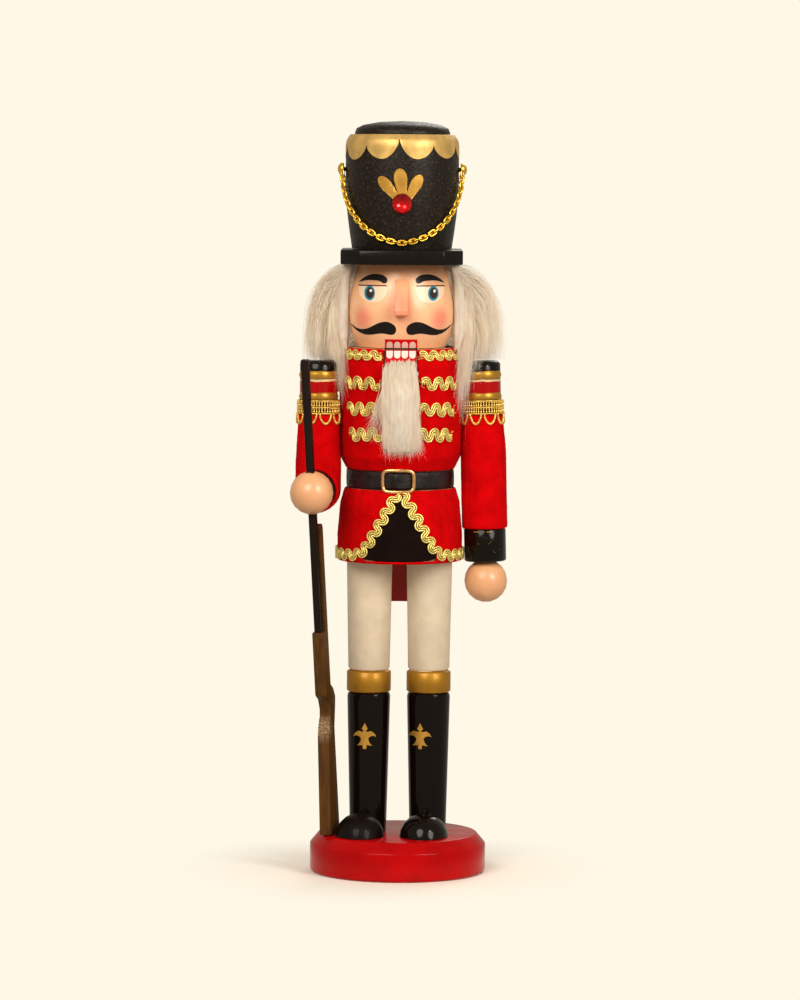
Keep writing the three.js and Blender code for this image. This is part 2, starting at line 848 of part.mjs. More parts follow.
function makeHead() {
  const body = solid(turned([[0, headBottom], ...headProfile(), [0, headTop]]));
  const holes = [neckHole(-1), neckHole(1), hatDowelHole()];
  add("head", cut(body, ...holes), "skinPaint");
  for (const [side, word] of sides) {
    const x = (side * neckDowelSpacing) / 2;
    const half = neckDowelLength / 2;
    const dowel = rod(point(x, 0, headBottom - half), point(x, 0, headBottom + half), neckDowelRadius);
    add("neck_dowel_" + word, solid(dowel), "bareWood");
  }
  const low = headBottom + noseRise;
  const inside = -headTopRadius;
  const outline = [
    [inside, low + noseHeight],
    [-headRadius + 2, low + noseHeight],
    [-headRadius - noseLength, low + 3],
    [-headRadius - noseLength + 0.6, low + 0.6],
    [-headRadius - noseLength + 2.4, low],
    [inside, low],
  ];
  const face = solid(turned([[0, headBottom], ...headProfile(gap), [0, headTop]]));
  add("nose", cut(solid(board(outline, noseWidth)), face), "skinPaint");
}

// Hair wraps the sides and back of the head in one soft mass, level with the collar below.
function makeHair() {
  const rows = 6;
  const steps = 18;
  const low = armTop + hairHem;
  const high = brimBottom - 2 * gap;
  const upper = Array.from({ length: rows }, (_, i) => headBottom + ((high - headBottom) * i) / (rows - 1));
  const inside = [low, ...upper];
  const headRadiusAt = (z) => {
    const profile = headProfile(gap);
    const next = Math.max(1, profile.findIndex(([, height]) => height >= z));
    const [r0, z0] = profile[next - 1];
    const [r1, z1] = profile[next];
    return Math.max(r0, r1, r0 + ((r1 - r0) * (z - z0)) / (z1 - z0)) + gap;
  };
  const inner = (z) => {
    if (z <= headBottom) return coatRadius(Math.min(z, collarZ)) + 3 * gap + trimThickness;
    return Math.max(headRadiusAt(z), headRadiusAt(Math.max(z - 4, headBottom)));
  };
  const sections = Array.from({ length: steps + 1 }, (_, i) => {
    const angle = hairOpening + ((360 - 2 * hairOpening) * i) / steps;
    const sideness = Math.abs(Math.sin(rad(angle)));
    const edge = Math.min(1, 0.35 + (4 * Math.min(i, steps - i)) / steps);
    const thick = (hairBack + (hairSide - hairBack) * sideness ** 2) * edge;
    const at = (r, z) => point(r * Math.sin(rad(angle)), -r * Math.cos(rad(angle)), z);
    const outward = inside.map((z) => {
      const share = (z - low) / (high - low);
      const puff = Math.sqrt(Math.max(0.06, 1 - share ** 4)) * (0.92 + 0.08 * Math.cos(4 * share));
      return at(inner(z) + thick * puff, z);
    });
    return [...inside.map((z) => at(inner(z), z)).reverse(), ...outward];
  });
  add("hair", solid(loft(sections)), "fur");
}

function hatDowelHole() {
  const half = hatDowelLength / 2 + gap;
  const middle = (brimBottom + brimTop) / 2;
  return solid(rod(point(0, 0, middle - half), point(0, 0, middle + half), hatDowelRadius + gap));
}

function crownRadiusAt(z) {
  const share = THREE.MathUtils.clamp((z - crownBottom) / (0.6 * crownHeight), 0, 1);
  return crownLowRadius + (crownTopRadius - crownLowRadius) * Math.sin((share * Math.PI) / 2);
}

// Hat: a board brim with clipped corners and a turned crown with a low domed top.
function makeHat() {
  const shape = new THREE.Shape();
  const corners = [
    [brimHalfWidth - brimClip, -brimFront],
    [brimHalfWidth, -brimFront + brimClip],
    [brimHalfWidth, brimHalfWidth - brimClip],
    [brimHalfWidth - brimClip, brimHalfWidth],
  ];
  corners.forEach(([x, y], i) => (i ? shape.lineTo(x, y) : shape.moveTo(x, y)));
  [...corners].reverse().forEach(([x, y]) => shape.lineTo(-x, y));
  const plate = new THREE.ExtrudeGeometry(shape, {
    depth: brimThickness - 2 * brimBevel,
    bevelSize: brimBevel,
    bevelThickness: brimBevel,
    bevelOffset: -brimBevel,
    bevelSegments: 2,
  });
  plate.translate(0, 0, brimBottom + brimBevel);
  add("hat_brim", cut(solid(plate), hatDowelHole()), "blackPaint");
  const wall = Array.from({ length: 5 }, (_, i) => crownBottom + 0.15 * i * crownHeight);
  const shoulder = [0, 1, 2, 3].map((i) => {
    const turn = (i / 3) * (Math.PI / 2);
    const inset = 0.7 * crownRound * (1 - Math.cos(turn));
    return [crownTopRadius - inset, crownTop - crownRound * (1 - Math.sin(turn))];
  });
  const dome = [0, 0.35, 0.65, 0.9].map((share) => [
    crownDomeRadius * (1 - share ** 2.6) ** 0.5,
    crownTop + crownDomeHeight * (0.16 + 0.84 * share),
  ]);
  const crown = turned([
    [0, crownBottom],
    ...wall.map((z) => [crownRadiusAt(z), z]),
    ...shoulder,
    [crownDomeRadius, crownTop],
    ...dome,
    [0, crownTop + crownDomeHeight],
  ]);
  const studHoles = sides.map(([side]) => {
    const [, inner] = studStations(side);
    const from = point(inner - side * gap, 0, studZ);
    return solid(rod(from, point(side * (crownTopRadius + 5), 0, studZ), studNeckRadius + gap, 10));
  });
  add("hat_crown", cut(solid(crown), hatDowelHole(), ...studHoles), "blackPaint");
  const half = hatDowelLength / 2;
  const middle = (brimBottom + brimTop) / 2;
  const dowel = rod(point(0, 0, middle - half), point(0, 0, middle + half), hatDowelRadius);
  add("hat_dowel", solid(dowel), "bareWood");
}

const studZ = crownTop - studBelowTop;

// X of a stud's head seat and of its pin's inner end.
function studStations(side) {
  const face = crownRadiusAt(studZ) + gap;
  return [side * (face + studNeckLength), side * (face - studPinLength)];
}

function makeStuds() {
  for (const [side, word] of sides) {
    const [seat, inner] = studStations(side);
    const stud = turned([
      [0, 0],
      [studNeckRadius, 0],
      [studNeckRadius, Math.abs(seat - inner)],
      [studRadius, Math.abs(seat - inner)],
      [studRadius * 0.94, Math.abs(seat - inner) + studHeight * 0.4],
      [studRadius * 0.6, Math.abs(seat - inner) + studHeight * 0.85],
      [0, Math.abs(seat - inner) + studHeight],
    ], 14);
    stud.rotateY((side * Math.PI) / 2);
    stud.translate(inner, 0, studZ);
    add("chain_stud_" + word, solid(stud), "brass");
  }
  const z = crownTop - jewelBelowTop;
  const cap = [0, 1, 2, 3].map((i) => {
    const turn = (i / 4) * (Math.PI / 2);
    return [jewelRadius * Math.cos(turn), jewelHeight * (0.25 + 0.75 * Math.sin(turn))];
  });
  const jewel = turned([[0, 0], [jewelRadius, 0], ...cap, [0, jewelHeight]], 20);
  jewel.rotateX(Math.PI / 2);
  jewel.translate(0, -crownRadiusAt(z) - gap, z);
  add("hat_jewel", solid(jewel), "jewel");
}

// The chain's centre line: a sagging curve laid on the front of the crown.
function chainPoint(t) {
  const share = 2 * t - 1;
  const span = crownRadiusAt(studZ) + gap + studNeckLength / 2;
  const x = span * Math.sin((share * Math.PI) / 2);
  const fall = 0.12 * (1 - Math.abs(share)) + 0.88 * (1 - share ** 2) ** 1.02;
  const z = studZ - linkWidth / 4 - chainSag * fall;
  const lift = linkWidth / 2 + gap;
  const r = crownRadiusAt(z) + lift;
  return point(x, -Math.sqrt(Math.max(0, r * r - x * x)), z);
}

// One oval link of round wire, its long axis on the chain's path.
function link(centre, along, out, length) {
  const other = new THREE.Vector3().crossVectors(along, out).normalize();
  const long = (length - chainWire) / 2;
  const wide = (linkWidth - chainWire) / 2;
  const path = Array.from({ length: 6 }, (_, i) => {
    const turn = (2 * Math.PI * i) / 6;
    return centre
      .clone()
      .addScaledVector(along, long * Math.cos(turn))
      .addScaledVector(other, wide * Math.sin(turn));
  });
  return solid(tube(path, chainWire / 2, 4, true));
}

// Links alternate flat and on edge, and each one bears on the next.
function makeChain() {
  const fine = Array.from({ length: 401 }, (_, i) => chainPoint(i / 400));
  const lengths = [0];
  for (let i = 1; i < fine.length; i++) lengths.push(lengths[i - 1] + fine[i].distanceTo(fine[i - 1]));
  const total = lengths.at(-1);
  const at = (distance) => {
    const i = Math.min(fine.length - 1, Math.max(1, lengths.findIndex((l) => l >= distance)));
    const share = (distance - lengths[i - 1]) / (lengths[i] - lengths[i - 1]);
    return fine[i - 1].clone().lerp(fine[i], share);
  };
  const pitch = total / linkCount;
  const made = Array.from({ length: linkCount }, (_, i) => {
    const start = at(i * pitch);
    const end = at((i + 1) * pitch);
    const centre = start.clone().lerp(end, 0.5);
    const along = end.clone().sub(start).normalize();
    const radial = point(centre.x, centre.y, 0).normalize();
    const across = new THREE.Vector3().crossVectors(along, radial).normalize();
    const out = i % 2 ? across : radial.clone().lerp(across, 0.25).normalize();
    return link(centre, along, out, pitch + 1.45 * chainWire);
  });
  add("hat_chain", join(...made), "brass");
}

// Turned arm above the sleeve: cap, two rings and a band, down to the trim.
function armHead() {
  const rows = [
    [0, 0],
    [capRadius - 1.6, 0],
    [capRadius, 1.6],
    [capRadius, capHeight],
    [ringRadius - 0.5, capHeight + 0.4],
    [ringRadius, capHeight + ringHeight / 2],
    [ringRadius - 0.5, capHeight + ringHeight - 0.4],
    [bandRadius, capHeight + ringHeight],
    [bandRadius, capHeight + ringHeight + bandHeight],
    [ringRadius - 0.5, capHeight + ringHeight + bandHeight + 0.4],
    [ringRadius, capHeight + 1.5 * ringHeight + bandHeight],
    [ringRadius - 0.5, capHeight + 2 * ringHeight + bandHeight - 0.4],
  ];
  return rows.map(([r, down]) => [r, armTop - down]);
}

const trimTop = armTop - capHeight - 2 * ringHeight - bandHeight;
const sleeveTop = trimTop - trimBandHeight - gap;
const coreTopRadius = sleeveTopRadius - feltThickness - gap;
const coreRadius = sleeveRadius - feltThickness - gap;

// Whether a loop of cord has room between the sleeve and the coat.
function clearOfCoat(path) {
  return path.every((p) => Math.hypot(p.x, p.y) > chestRadius + gap + fringeCord);
}

// Gold trim on the upper arm: a band with loops of cord hanging over the sleeve.
function armTrim(axis) {
  const inner = coreTopRadius + gap;
  const outer = trimOuterRadius;
  const low = trimTop - gap - trimBandHeight;
  const high = trimTop - gap;
  const band = ring(
    [
      [outer, low],
      [outer, high],
    ],
    [
      [inner, low],
      [inner, high],
    ],
    armSides,
  );
  const r = sleeveTopRadius + gap + fringeCord / 2 + 0.1;
  const paths = Array.from({ length: fringeLoops }, (_, i) =>
    Array.from({ length: 6 }, (_, j) => {
      const t = j / 5;
      const angle = (2 * Math.PI * (i + 0.08 + 0.84 * t)) / fringeLoops;
      const drop = fringeDrop * Math.sin(Math.PI * t) ** 0.6;
      return point(axis.x + r * Math.sin(angle), axis.y - r * Math.cos(angle), low + 0.4 - drop);
    }),
  );
  const loops = paths.filter(clearOfCoat).map((path) => solid(tube(path, fringeCord / 2, 4)));
  return join(solid(band.translate(axis.x, axis.y, 0)), ...loops);
}

function makeShoulders() {
  sides.forEach(([, word], arm) => {
    const trim = armTrim(armAxes[arm]);
    add("epaulette_trim_" + word, cut(arm ? leanRightArm(trim) : trim, coatRoom()), "goldBraid");
    const [start, end] = shoulderDowel(arm, 0);
    add("shoulder_dowel_" + word, solid(rod(start, end, shoulderDowelRadius)), "bareWood");
  });
}

// The right arm hangs straight, with a sleeve, a painted cuff and a ball for a hand.
function makeRightArm() {
  const axis = armAxes[1];
  const cuffTop = sleeveTop - sleeveLength - gap;
  const low = cuffTop - cuffLength;
  const hand = point(axis.x, axis.y, low - handRadius + handSeat);
  const profile = [
    ...armHead(),
    [coreTopRadius, trimTop],
    [coreTopRadius, sleeveTop],
    [coreRadius, sleeveTop - 0.3 * sleeveLength],
    [coreRadius, cuffTop],
    [cuffRadius - 0.4, cuffTop],
    [cuffRadius, cuffTop - 0.6],
    [cuffRadius, low + 0.6],
    [cuffRadius - 0.6, low],
    [0, low],
  ];
  const body = solid(turned(profile, armSides).translate(axis.x, axis.y, 0));
  const seat = solid(ball(handRadius + gap, hand));
  const middle = point(hand.x, hand.y, hand.z + handRadius);
  const half = wristDowelLength / 2;
  const from = middle.clone().setZ(middle.z - half);
  const to = middle.clone().setZ(middle.z + half);
  const farFrom = from.clone().setZ(from.z - gap);
  const hole = solid(rod(farFrom, to.clone().setZ(to.z + gap), wristDowelRadius + gap));
  add("arm_right", cut(leanRightArm(cut(body, seat, hole)), shoulderHole(1), coatRoom()), "blackPaint");
  add("hand_right", leanRightArm(cut(solid(ball(handRadius, hand)), hole)), "skinPaint");
  add("wrist_dowel_right", leanRightArm(solid(rod(from, to, wristDowelRadius))), "bareWood");
  const heights = [sleeveTop - sleeveLength, sleeveTop - 0.3 * sleeveLength, sleeveTop];
  const outside = [sleeveRadius, sleeveRadius, sleeveTopRadius].map((r, i) => [r, heights[i]]);
  const sleeve = ring(outside, outside.map(([r, z]) => [r - feltThickness, z]), armSides);
  const hung = leanRightArm(solid(sleeve.translate(axis.x, axis.y, 0)));
  add("sleeve_right", cut(hung, coatRoom()), "redFelt");
}

// Left arm: elbow, forearm direction and hand
const elbow = armAxes[0].clone().setZ(armTop - elbowDrop);
const forward = point(-Math.sin(rad(forearmTurn)), -Math.cos(rad(forearmTurn)), 0);
const leftHand = elbow.clone().addScaledVector(forward, forearmReach);
const onForearm = (distance) => elbow.clone().addScaledVector(forward, distance);

// An upright round bar that turns the elbow and runs forward.
function bentBar(radius, topRadius, top, reach) {
  const bend = elbow.z + 0.35 * (sleeveTop - elbow.z);
  const upright = turned(
    [
      [0, elbow.z],
      [radius, elbow.z],
      [radius, bend],
      [topRadius, top],
      [0, top],
    ],
    armSides,
  ).translate(elbow.x, elbow.y, 0);
  const level = rod(elbow, onForearm(reach), radius, armSides);
  return join(solid(upright), solid(ball(radius, elbow, armSides)), solid(level));
}

function makeLeftArm() {
  const wrist = forearmReach - handRadius + handSeat;
  const upper = turned(
    [
      ...armHead(),
      [coreTopRadius, trimTop],
      [coreTopRadius, sleeveTop],
      [coreRadius, elbow.z + 0.35 * (sleeveTop - elbow.z)],
      [coreRadius, elbow.z],
      [0, elbow.z],
    ],
    armSides,
  ).translate(elbow.x, elbow.y, 0);
  const dowelStart = coreRadius - forearmDowelDepth;
  const dowelEnd = wrist + forearmDowelDepth;
  const holeEnds = [onForearm(dowelStart - gap), onForearm(dowelEnd + gap)];
  const dowelHole = solid(rod(...holeEnds, wristDowelRadius + gap));
  const core = join(solid(upper), solid(ball(coreRadius, elbow, armSides)));
  add("arm_left", cut(core, dowelHole, shoulderHole(0)), "blackPaint");
  const saddleEnds = [elbow.z - sleeveRadius, armTop].map((z) => elbow.clone().setZ(z));
  const saddle = rod(...saddleEnds, coreRadius + gap, armSides);
  const cuff = rod(onForearm(forearmSleeve + gap), onForearm(wrist), cuffRadius, armSides);
  const bar = join(solid(rod(onForearm(0), onForearm(wrist), coreRadius, armSides)), solid(cuff));
  const seat = solid(ball(handRadius + gap, leftHand));
  const forearm = cut(bar, solid(saddle), dowelHole, seat);
  add("forearm_left", forearm, "blackPaint");
  const sleeve = cut(
    bentBar(sleeveRadius, sleeveTopRadius, sleeveTop, forearmSleeve),
    bentBar(coreRadius + gap, coreTopRadius + gap, sleeveTop + 1, forearmReach),
  );
  add("sleeve_left", sleeve, "redFelt");
  const dowel = rod(onForearm(dowelStart), onForearm(dowelEnd), wristDowelRadius);
  add("forearm_dowel", cut(solid(dowel), rifleBore()), "bareWood");
  const hand = cut(solid(ball(handRadius, leftHand)), dowelHole, rifleBore());
  add("hand_left", hand, "skinPaint");
}

// The rifle leans from the base, beside the left foot, through the left hand.
const depthWay = point(Math.sin(rad(stockTurn)), Math.cos(rad(stockTurn)), 0);
const buttX = -legX - footSpread - footTurn - footHalfWidth - rifleFootGap - stockThickness / 2;
const buttPoint = point(buttX, -buttBack, baseHeight + gap);
const rifleUp = leftHand.clone().sub(buttPoint).normalize();
const rifleDepth = depthWay.clone().addScaledVector(rifleUp, -depthWay.dot(rifleUp)).normalize();
const rifleAcross = new THREE.Vector3().crossVectors(rifleDepth, rifleUp);
const rifleFrame = new THREE.Matrix4().makeBasis(rifleAcross, rifleDepth, rifleUp).setPosition(buttPoint);

function barrelBox(side, start, end) {
  const box = new THREE.BoxGeometry(side, side, end - start);
  box.translate(0, 0, (start + end) / 2);
  return solid(box.applyMatrix4(rifleFrame));
}

// The room for the rifle in the hand: the barrel, and the stock where it is long enough to reach.
function rifleBore() {
  const depth = stockForeDepth + 2 * gap;
  const length = stockLength + gap - barrelStart;
  const fore = new THREE.BoxGeometry(stockThickness + 2 * gap, depth, length);
  fore.translate(0, (stockForeDepth - barrelSide) / 2, barrelStart + length / 2);
  const barrel = barrelBox(barrelSide + 2 * gap, barrelStart, barrelEnd);
  return join(barrel, solid(fore.applyMatrix4(rifleFrame)));
}

function makeRifle() {
  add("rifle_barrel", barrelBox(barrelSide, barrelStart + gap, barrelEnd), "blackPaint");
  const front = -barrelSide / 2;
  const rest = barrelSide / 2 + gap;
  const lean = rifleUp.z;
  const foot = (depth) => -(depth * rifleDepth.z) / lean + stockThickness * 0.02;
  const outline = [
    [stockButtFront + front, foot(stockButtFront + front)],
    ...gripFront.map(([share, depth]) => [front + depth, share * stockLength]),
    [front, barrelStart],
    [rest, barrelStart],
    [rest, stockLength - 1.5],
    [rest + 1.5, stockLength],
    [front + stockForeDepth - 1, stockLength],
    [front + stockForeDepth, stockLength - 2],
    ...gripBack.map(([share, depth]) => [front + stockForeDepth + depth, share * stockLength]),
    [front + stockButtBack, buttShare * stockLength],
    [front + stockButtBack, foot(front + stockButtBack)],
  ];
  const stock = board(outline, stockThickness).applyMatrix4(rifleFrame);
  add("rifle_stock", solid(stock), "rifleWood");
}

makeBase();
makeBaseScrews();
makeLegs();
makeFeet();
makeTorso();
makeCoat();
makeBuckle();
makeBraids();
makeJaw();
makeBeard();
makeHead();
makeHair();
makeHat();
makeStuds();
makeChain();
makeShoulders();
makeRightArm();
makeLeftArm();
makeRifle();

export default root;
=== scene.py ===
import json
import math

import bmesh
import bpy
import numpy as np
from mathutils import Matrix, Vector

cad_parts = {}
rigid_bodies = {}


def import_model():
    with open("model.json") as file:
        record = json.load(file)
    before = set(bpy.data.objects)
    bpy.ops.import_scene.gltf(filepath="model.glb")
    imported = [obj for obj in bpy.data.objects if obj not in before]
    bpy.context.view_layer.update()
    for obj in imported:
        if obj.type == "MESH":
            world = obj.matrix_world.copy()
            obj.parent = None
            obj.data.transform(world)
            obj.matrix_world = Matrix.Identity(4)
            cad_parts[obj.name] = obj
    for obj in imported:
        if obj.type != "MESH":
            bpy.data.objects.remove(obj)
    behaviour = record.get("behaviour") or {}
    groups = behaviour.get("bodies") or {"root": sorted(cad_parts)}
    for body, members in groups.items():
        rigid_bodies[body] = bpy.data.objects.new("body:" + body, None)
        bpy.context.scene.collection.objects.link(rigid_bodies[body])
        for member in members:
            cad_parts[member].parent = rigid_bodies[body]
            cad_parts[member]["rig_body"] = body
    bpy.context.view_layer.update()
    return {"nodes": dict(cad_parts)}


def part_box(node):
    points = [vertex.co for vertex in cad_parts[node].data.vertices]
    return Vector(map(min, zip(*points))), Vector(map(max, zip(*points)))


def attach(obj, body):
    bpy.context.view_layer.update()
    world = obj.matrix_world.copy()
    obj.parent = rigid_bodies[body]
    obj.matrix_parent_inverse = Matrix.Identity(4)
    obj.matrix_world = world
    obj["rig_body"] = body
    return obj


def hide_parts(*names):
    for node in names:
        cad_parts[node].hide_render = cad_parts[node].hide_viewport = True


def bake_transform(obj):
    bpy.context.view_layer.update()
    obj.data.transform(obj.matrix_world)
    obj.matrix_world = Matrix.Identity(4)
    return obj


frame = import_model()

NODES = frame["nodes"]
MM = 0.001
TINY = 1e-9  # keeps a length that is divided by above zero
WELD = 2e-6
SIDES = ((-1, "left"), (1, "right"))
rng = np.random.default_rng(11)

# Camera, in mm: the eye is level with the hat, and the photograph leans a little
EYE = (0.25, -2346.0, 364.1)
AIM = (0.0, 0.0, 190.7)
FOCAL_PIXELS = 4600
LONG_SIDE_PIXELS = 1000
CAMERA_ROLL = 0.41
LAMP_AIM = Vector((0, 0, 0.2))  # in m, the middle of the figure

# Colours, linear
CREAM_BACKDROP = (1.0, 0.939, 0.799)
ROOM_LIGHT = (1.0, 0.93, 0.84)
RED_LACQUER = (0.40, 0.0003, 0.0008)
RED_FELT = (0.60, 0.001, 0.002)
DARK_RED = (0.38, 0.010, 0.005)
BLACK = (0.0045, 0.002, 0.001)
BLACK_FELT = (0.010, 0.0045, 0.0035)
CREAM_PAINT = (0.76, 0.62, 0.44)
SKIN = (0.98, 0.51, 0.26)
# the hands' skin: the face's lacquer painted darker, as painted shade on the hands
SHADED_HAND_SKIN = (0.79, 0.39, 0.185)
BLUSH = (0.94, 0.25, 0.15)
NOSE_BLUSH = (0.90, 0.30, 0.16)
# painted shadow that the hat's brim casts on the forehead
BRIM_SHADE = (0.50, 0.19, 0.065)
GOLD_PAINT = (0.53, 0.27, 0.034)
FUR = (1.0, 0.86, 0.73)
TOOTH = (0.86, 0.78, 0.68)
INK = (0.014, 0.010, 0.009)
GEM_RED = (0.55, 0.0, 0.012)


def plug(tree, socket, value):
    """Links an output to a socket, or sets the socket's own value."""
    if isinstance(value, bpy.types.NodeSocket):
        tree.links.new(value, socket)
    else:
        socket.default_value = value


def add_node(tree, kind, inputs, output=0, **settings):
    made = tree.nodes.new("ShaderNode" + kind)
    for key, value in settings.items():
        setattr(made, key, value)
    for key, value in inputs.items():
        plug(tree, made.inputs[key], value)
    return made.outputs[output] if made.outputs else None


class Look:
    """A Principled material, with short calls for the nodes that vary it. Sizes are in mm."""

    def __init__(self, name, colour, roughness, **sockets):
        self.material = bpy.data.materials.new(name)
        self.material.use_nodes = True
        self.tree = self.material.node_tree
        self.shader = self.tree.nodes["Principled BSDF"]
        self.set("Base Color", (*colour, 1))
        self.set("Roughness", roughness)
        for socket, value in sockets.items():
            self.set(socket.replace("_", " "), value)

    def set(self, socket, value):
        plug(self.tree, self.shader.inputs[socket], value)

    def node(self, kind, inputs, output=0, **settings):
        return add_node(self.tree, kind, inputs, output, **settings)

    def here(self):
        return self.node("TexCoord", {}, "Object")

    def axis(self, name):
        return self.node("SeparateXYZ", {0: self.here()}, name)

    def texture(self, kind, size, stretch, output, inputs=(), **settings):
        """A texture whose blobs are about size across."""
        where = self.node("Mapping", {"Vector": self.here(), "Scale": stretch})
        sockets = {"Vector": where, "Scale": 1 / (size * MM), **dict(inputs)}
        return self.node(kind, sockets, output, **settings)

    def noise(self, size, detail=3.0, stretch=(1, 1, 1)):
        return self.texture("TexNoise", size, stretch, "Fac", {"Detail": detail})

    def cells(self, size, stretch=(1, 1, 1), feature="F1"):
        return self.texture("TexVoronoi", size, stretch, "Distance", feature=feature)

    def math(self, operation, a, b=0.0):
        return self.node("Math", {0: a, 1: b}, operation=operation)

    def span(self, value, low, high, to_low=0.0, to_high=1.0):
        """value taken smoothly from low..high to to_low..to_high."""
        inputs = {"Value": value, "From Min": low, "From Max": high, "To Min": to_low, "To Max": to_high}
        return self.node("MapRange", inputs, interpolation_type="SMOOTHSTEP")

    def cloud(self, size, detail=3.0, to_low=0.0, to_high=1.0):
        return self.span(self.noise(size, detail), 0.3, 0.7, to_low, to_high)

    def mix(self, share, a, b):
        ends = [x if isinstance(x, bpy.types.NodeSocket) else (*x, 1) for x in (a, b)]
        return self.node("Mix", {0: share, 6: ends[0], 7: ends[1]}, 2, data_type="RGBA")

    def lay(self, share, most, under, colour):
        """A colour over another one, most of it where share is 1."""
        return self.mix(self.math("MULTIPLY", share, most), under, colour)

    def mix_numbers(self, share, a, b):
        return self.node("Mix", {0: share, 2: a, 3: b}, 0, data_type="FLOAT")

    def above(self, height, level):
        """1 above a painted line at this height, 0 below, the line a little uneven."""
        soft, wobble = 0.1, 0.2
        level = self.math("ADD", level, self.cloud(5, 1, -wobble * MM, wobble * MM))
        return self.span(level, (height - soft) * MM, (height + soft) * MM)

    def spot(self, centre, radius, soft):
        """1 within radius of a point, fading over soft."""
        middle = tuple(c * MM for c in centre)
        away = self.node("VectorMath", {0: self.here(), 1: middle}, "Value", operation="DISTANCE")
        return self.span(away, radius * MM, (radius + soft) * MM, 1.0, 0.0)

    def bump(self, height, depth, strength=1.0, under=None):
        inputs = {"Height": height, "Distance": depth * MM, "Strength": strength}
        if under is not None:
            inputs["Normal"] = under
        self.set("Normal", made := self.node("Bump", inputs))
        return made

    def mottle(self, size, detail, colour, low, high):
        """Cloudy patches of the colour, from low times to high times as light."""
        made = self.mix(self.cloud(size, detail), *shades(colour, low, high))
        self.set("Base Color", made)
        return made

    def gloss(self, size, detail, low, high):
        self.set("Roughness", self.cloud(size, detail, low, high))

    def mix_shaders(self, share, a, b):
        both = self.node("MixShader", {0: share, 1: a, 2: b})
        self.tree.links.new(both, self.tree.nodes["Material Output"].inputs[0])


def shades(colour, low, high):
    return tuple(c * low for c in colour), tuple(min(1, c * high) for c in colour)


def lacquer(name, colour, roughness=0.16, peel=0.02, coat=0.08):
    """Brushed gloss paint on turned wood: orange peel, faint turning rings and uneven gloss."""
    look = Look(name, colour, roughness, Coat_Weight=coat, Coat_Roughness=0.1, Specular_IOR_Level=0.08)
    look.mottle(14, 3, colour, 0.86, 1.1)
    worn = look.math("MULTIPLY", look.noise(9, 4), 0.14)
    look.set("Roughness", look.math("ADD", worn, roughness - 0.06))
    rings = look.bump(look.noise(40, 2, (1, 1, 40)), peel, 0.5)
    look.bump(look.noise(2.2, 2), peel, 0.7, rings)
    return look


def painted_zones(look, zones, start, tilt=0.0, axis=0.0):
    """Paint zones up a turning: each is (height it starts at, colour, metallic, roughness)."""
    colour, metal, rough = start
    across = look.math("SUBTRACT", look.axis("X"), axis * MM)
    level = look.math("SUBTRACT", look.axis("Z"), look.math("MULTIPLY", across, tilt))
    for height, new_colour, new_metal, new_rough in zones:
        share = look.above(height, level)
        colour = look.mix(share, colour, new_colour)
        metal = look.mix_numbers(share, metal, new_metal)
        rough = look.mix_numbers(share, rough, new_rough)
    inputs = {0: 1.0, 6: colour, 7: look.cloud(7, 4, 0.94, 1.04)}
    look.set("Base Color", look.node("Mix", inputs, 2, data_type="RGBA", blend_type="MULTIPLY"))
    look.set("Metallic", metal)
    look.set("Roughness", look.math("ADD", rough, look.math("MULTIPLY", look.noise(4, 4), 0.08)))
    rings = look.bump(look.noise(40, 2, (1, 1, 60)), 0.03, 0.4)
    look.bump(look.noise(1.6, 2), 0.015, 0.6, rings)
    return look


def gold_paint(name, colour=GOLD_PAINT):
    """Bronze powder paint: fine sparkle, thin places and brush strokes."""
    look = Look(name, colour, 0.45, Metallic=0.6, Coat_Weight=0.15, Coat_Roughness=0.25)
    dark, light = shades(colour, 0.82, 1.15)
    patches = look.mix(look.span(look.noise(5, 3), 0.32, 0.7), dark, light)
    flakes = look.span(look.cells(0.35), 0.1, 0.5)
    look.set("Base Color", look.mix(flakes, light, patches))
    look.gloss(0.6, 3, 0.39, 0.53)
    look.bump(look.noise(0.5, 4), 0.015, 0.4)
    return look


def felt(name, colour, glow):
    """Short-nap felt: matted fibres, cloudy nap and a soft sheen."""
    look = Look(name, colour, 0.95, Sheen_Weight=0.06, Sheen_Roughness=0.4, Specular_IOR_Level=0.03)
    look.set("Sheen Tint", (*glow, 1))
    dark, light = shades(colour, 0.62, 1.22)
    cloud = look.span(look.noise(9, 4), 0.25, 0.75)
    fibre = look.span(look.noise(0.55, 5), 0.25, 0.75)
    low, high = look.mix(cloud, dark, colour), look.mix(cloud, colour, light)
    look.set("Base Color", look.mix(fibre, low, high))
    mat = look.bump(look.noise(1.1, 4), 0.22, 0.6)
    look.bump(look.noise(0.3, 5), 0.16, 0.8, mat)
    return look


def gilt_cord(name, colour):
    """Cord wrapped in foil thread: a ridge every half millimetre along it."""
    look = Look(name, colour, 0.3, Metallic=0.5)
    look.mottle(1.3, 3, colour, 0.72, 1.2)
    along = look.node("Attribute", {}, "Fac", attribute_name="along")
    wraps = look.math("SINE", look.math("MULTIPLY", along, 2 * math.pi / (0.55 * MM)))
    ridges = look.bump(wraps, 0.02, 0.5)
    look.bump(look.noise(0.35, 2), 0.02, 0.3, ridges)
    look.gloss(0.8, 3, 0.16, 0.32)
    return look


def metal(name, colour, roughness):
    look = Look(name, colour, roughness, Metallic=1.0)
    look.mottle(2.5, 4, colour, 0.84, 1.04)
    look.gloss(1.2, 4, roughness - 0.06, roughness + 0.08)
    look.bump(look.noise(0.6, 3), 0.004, 0.3)
    return look


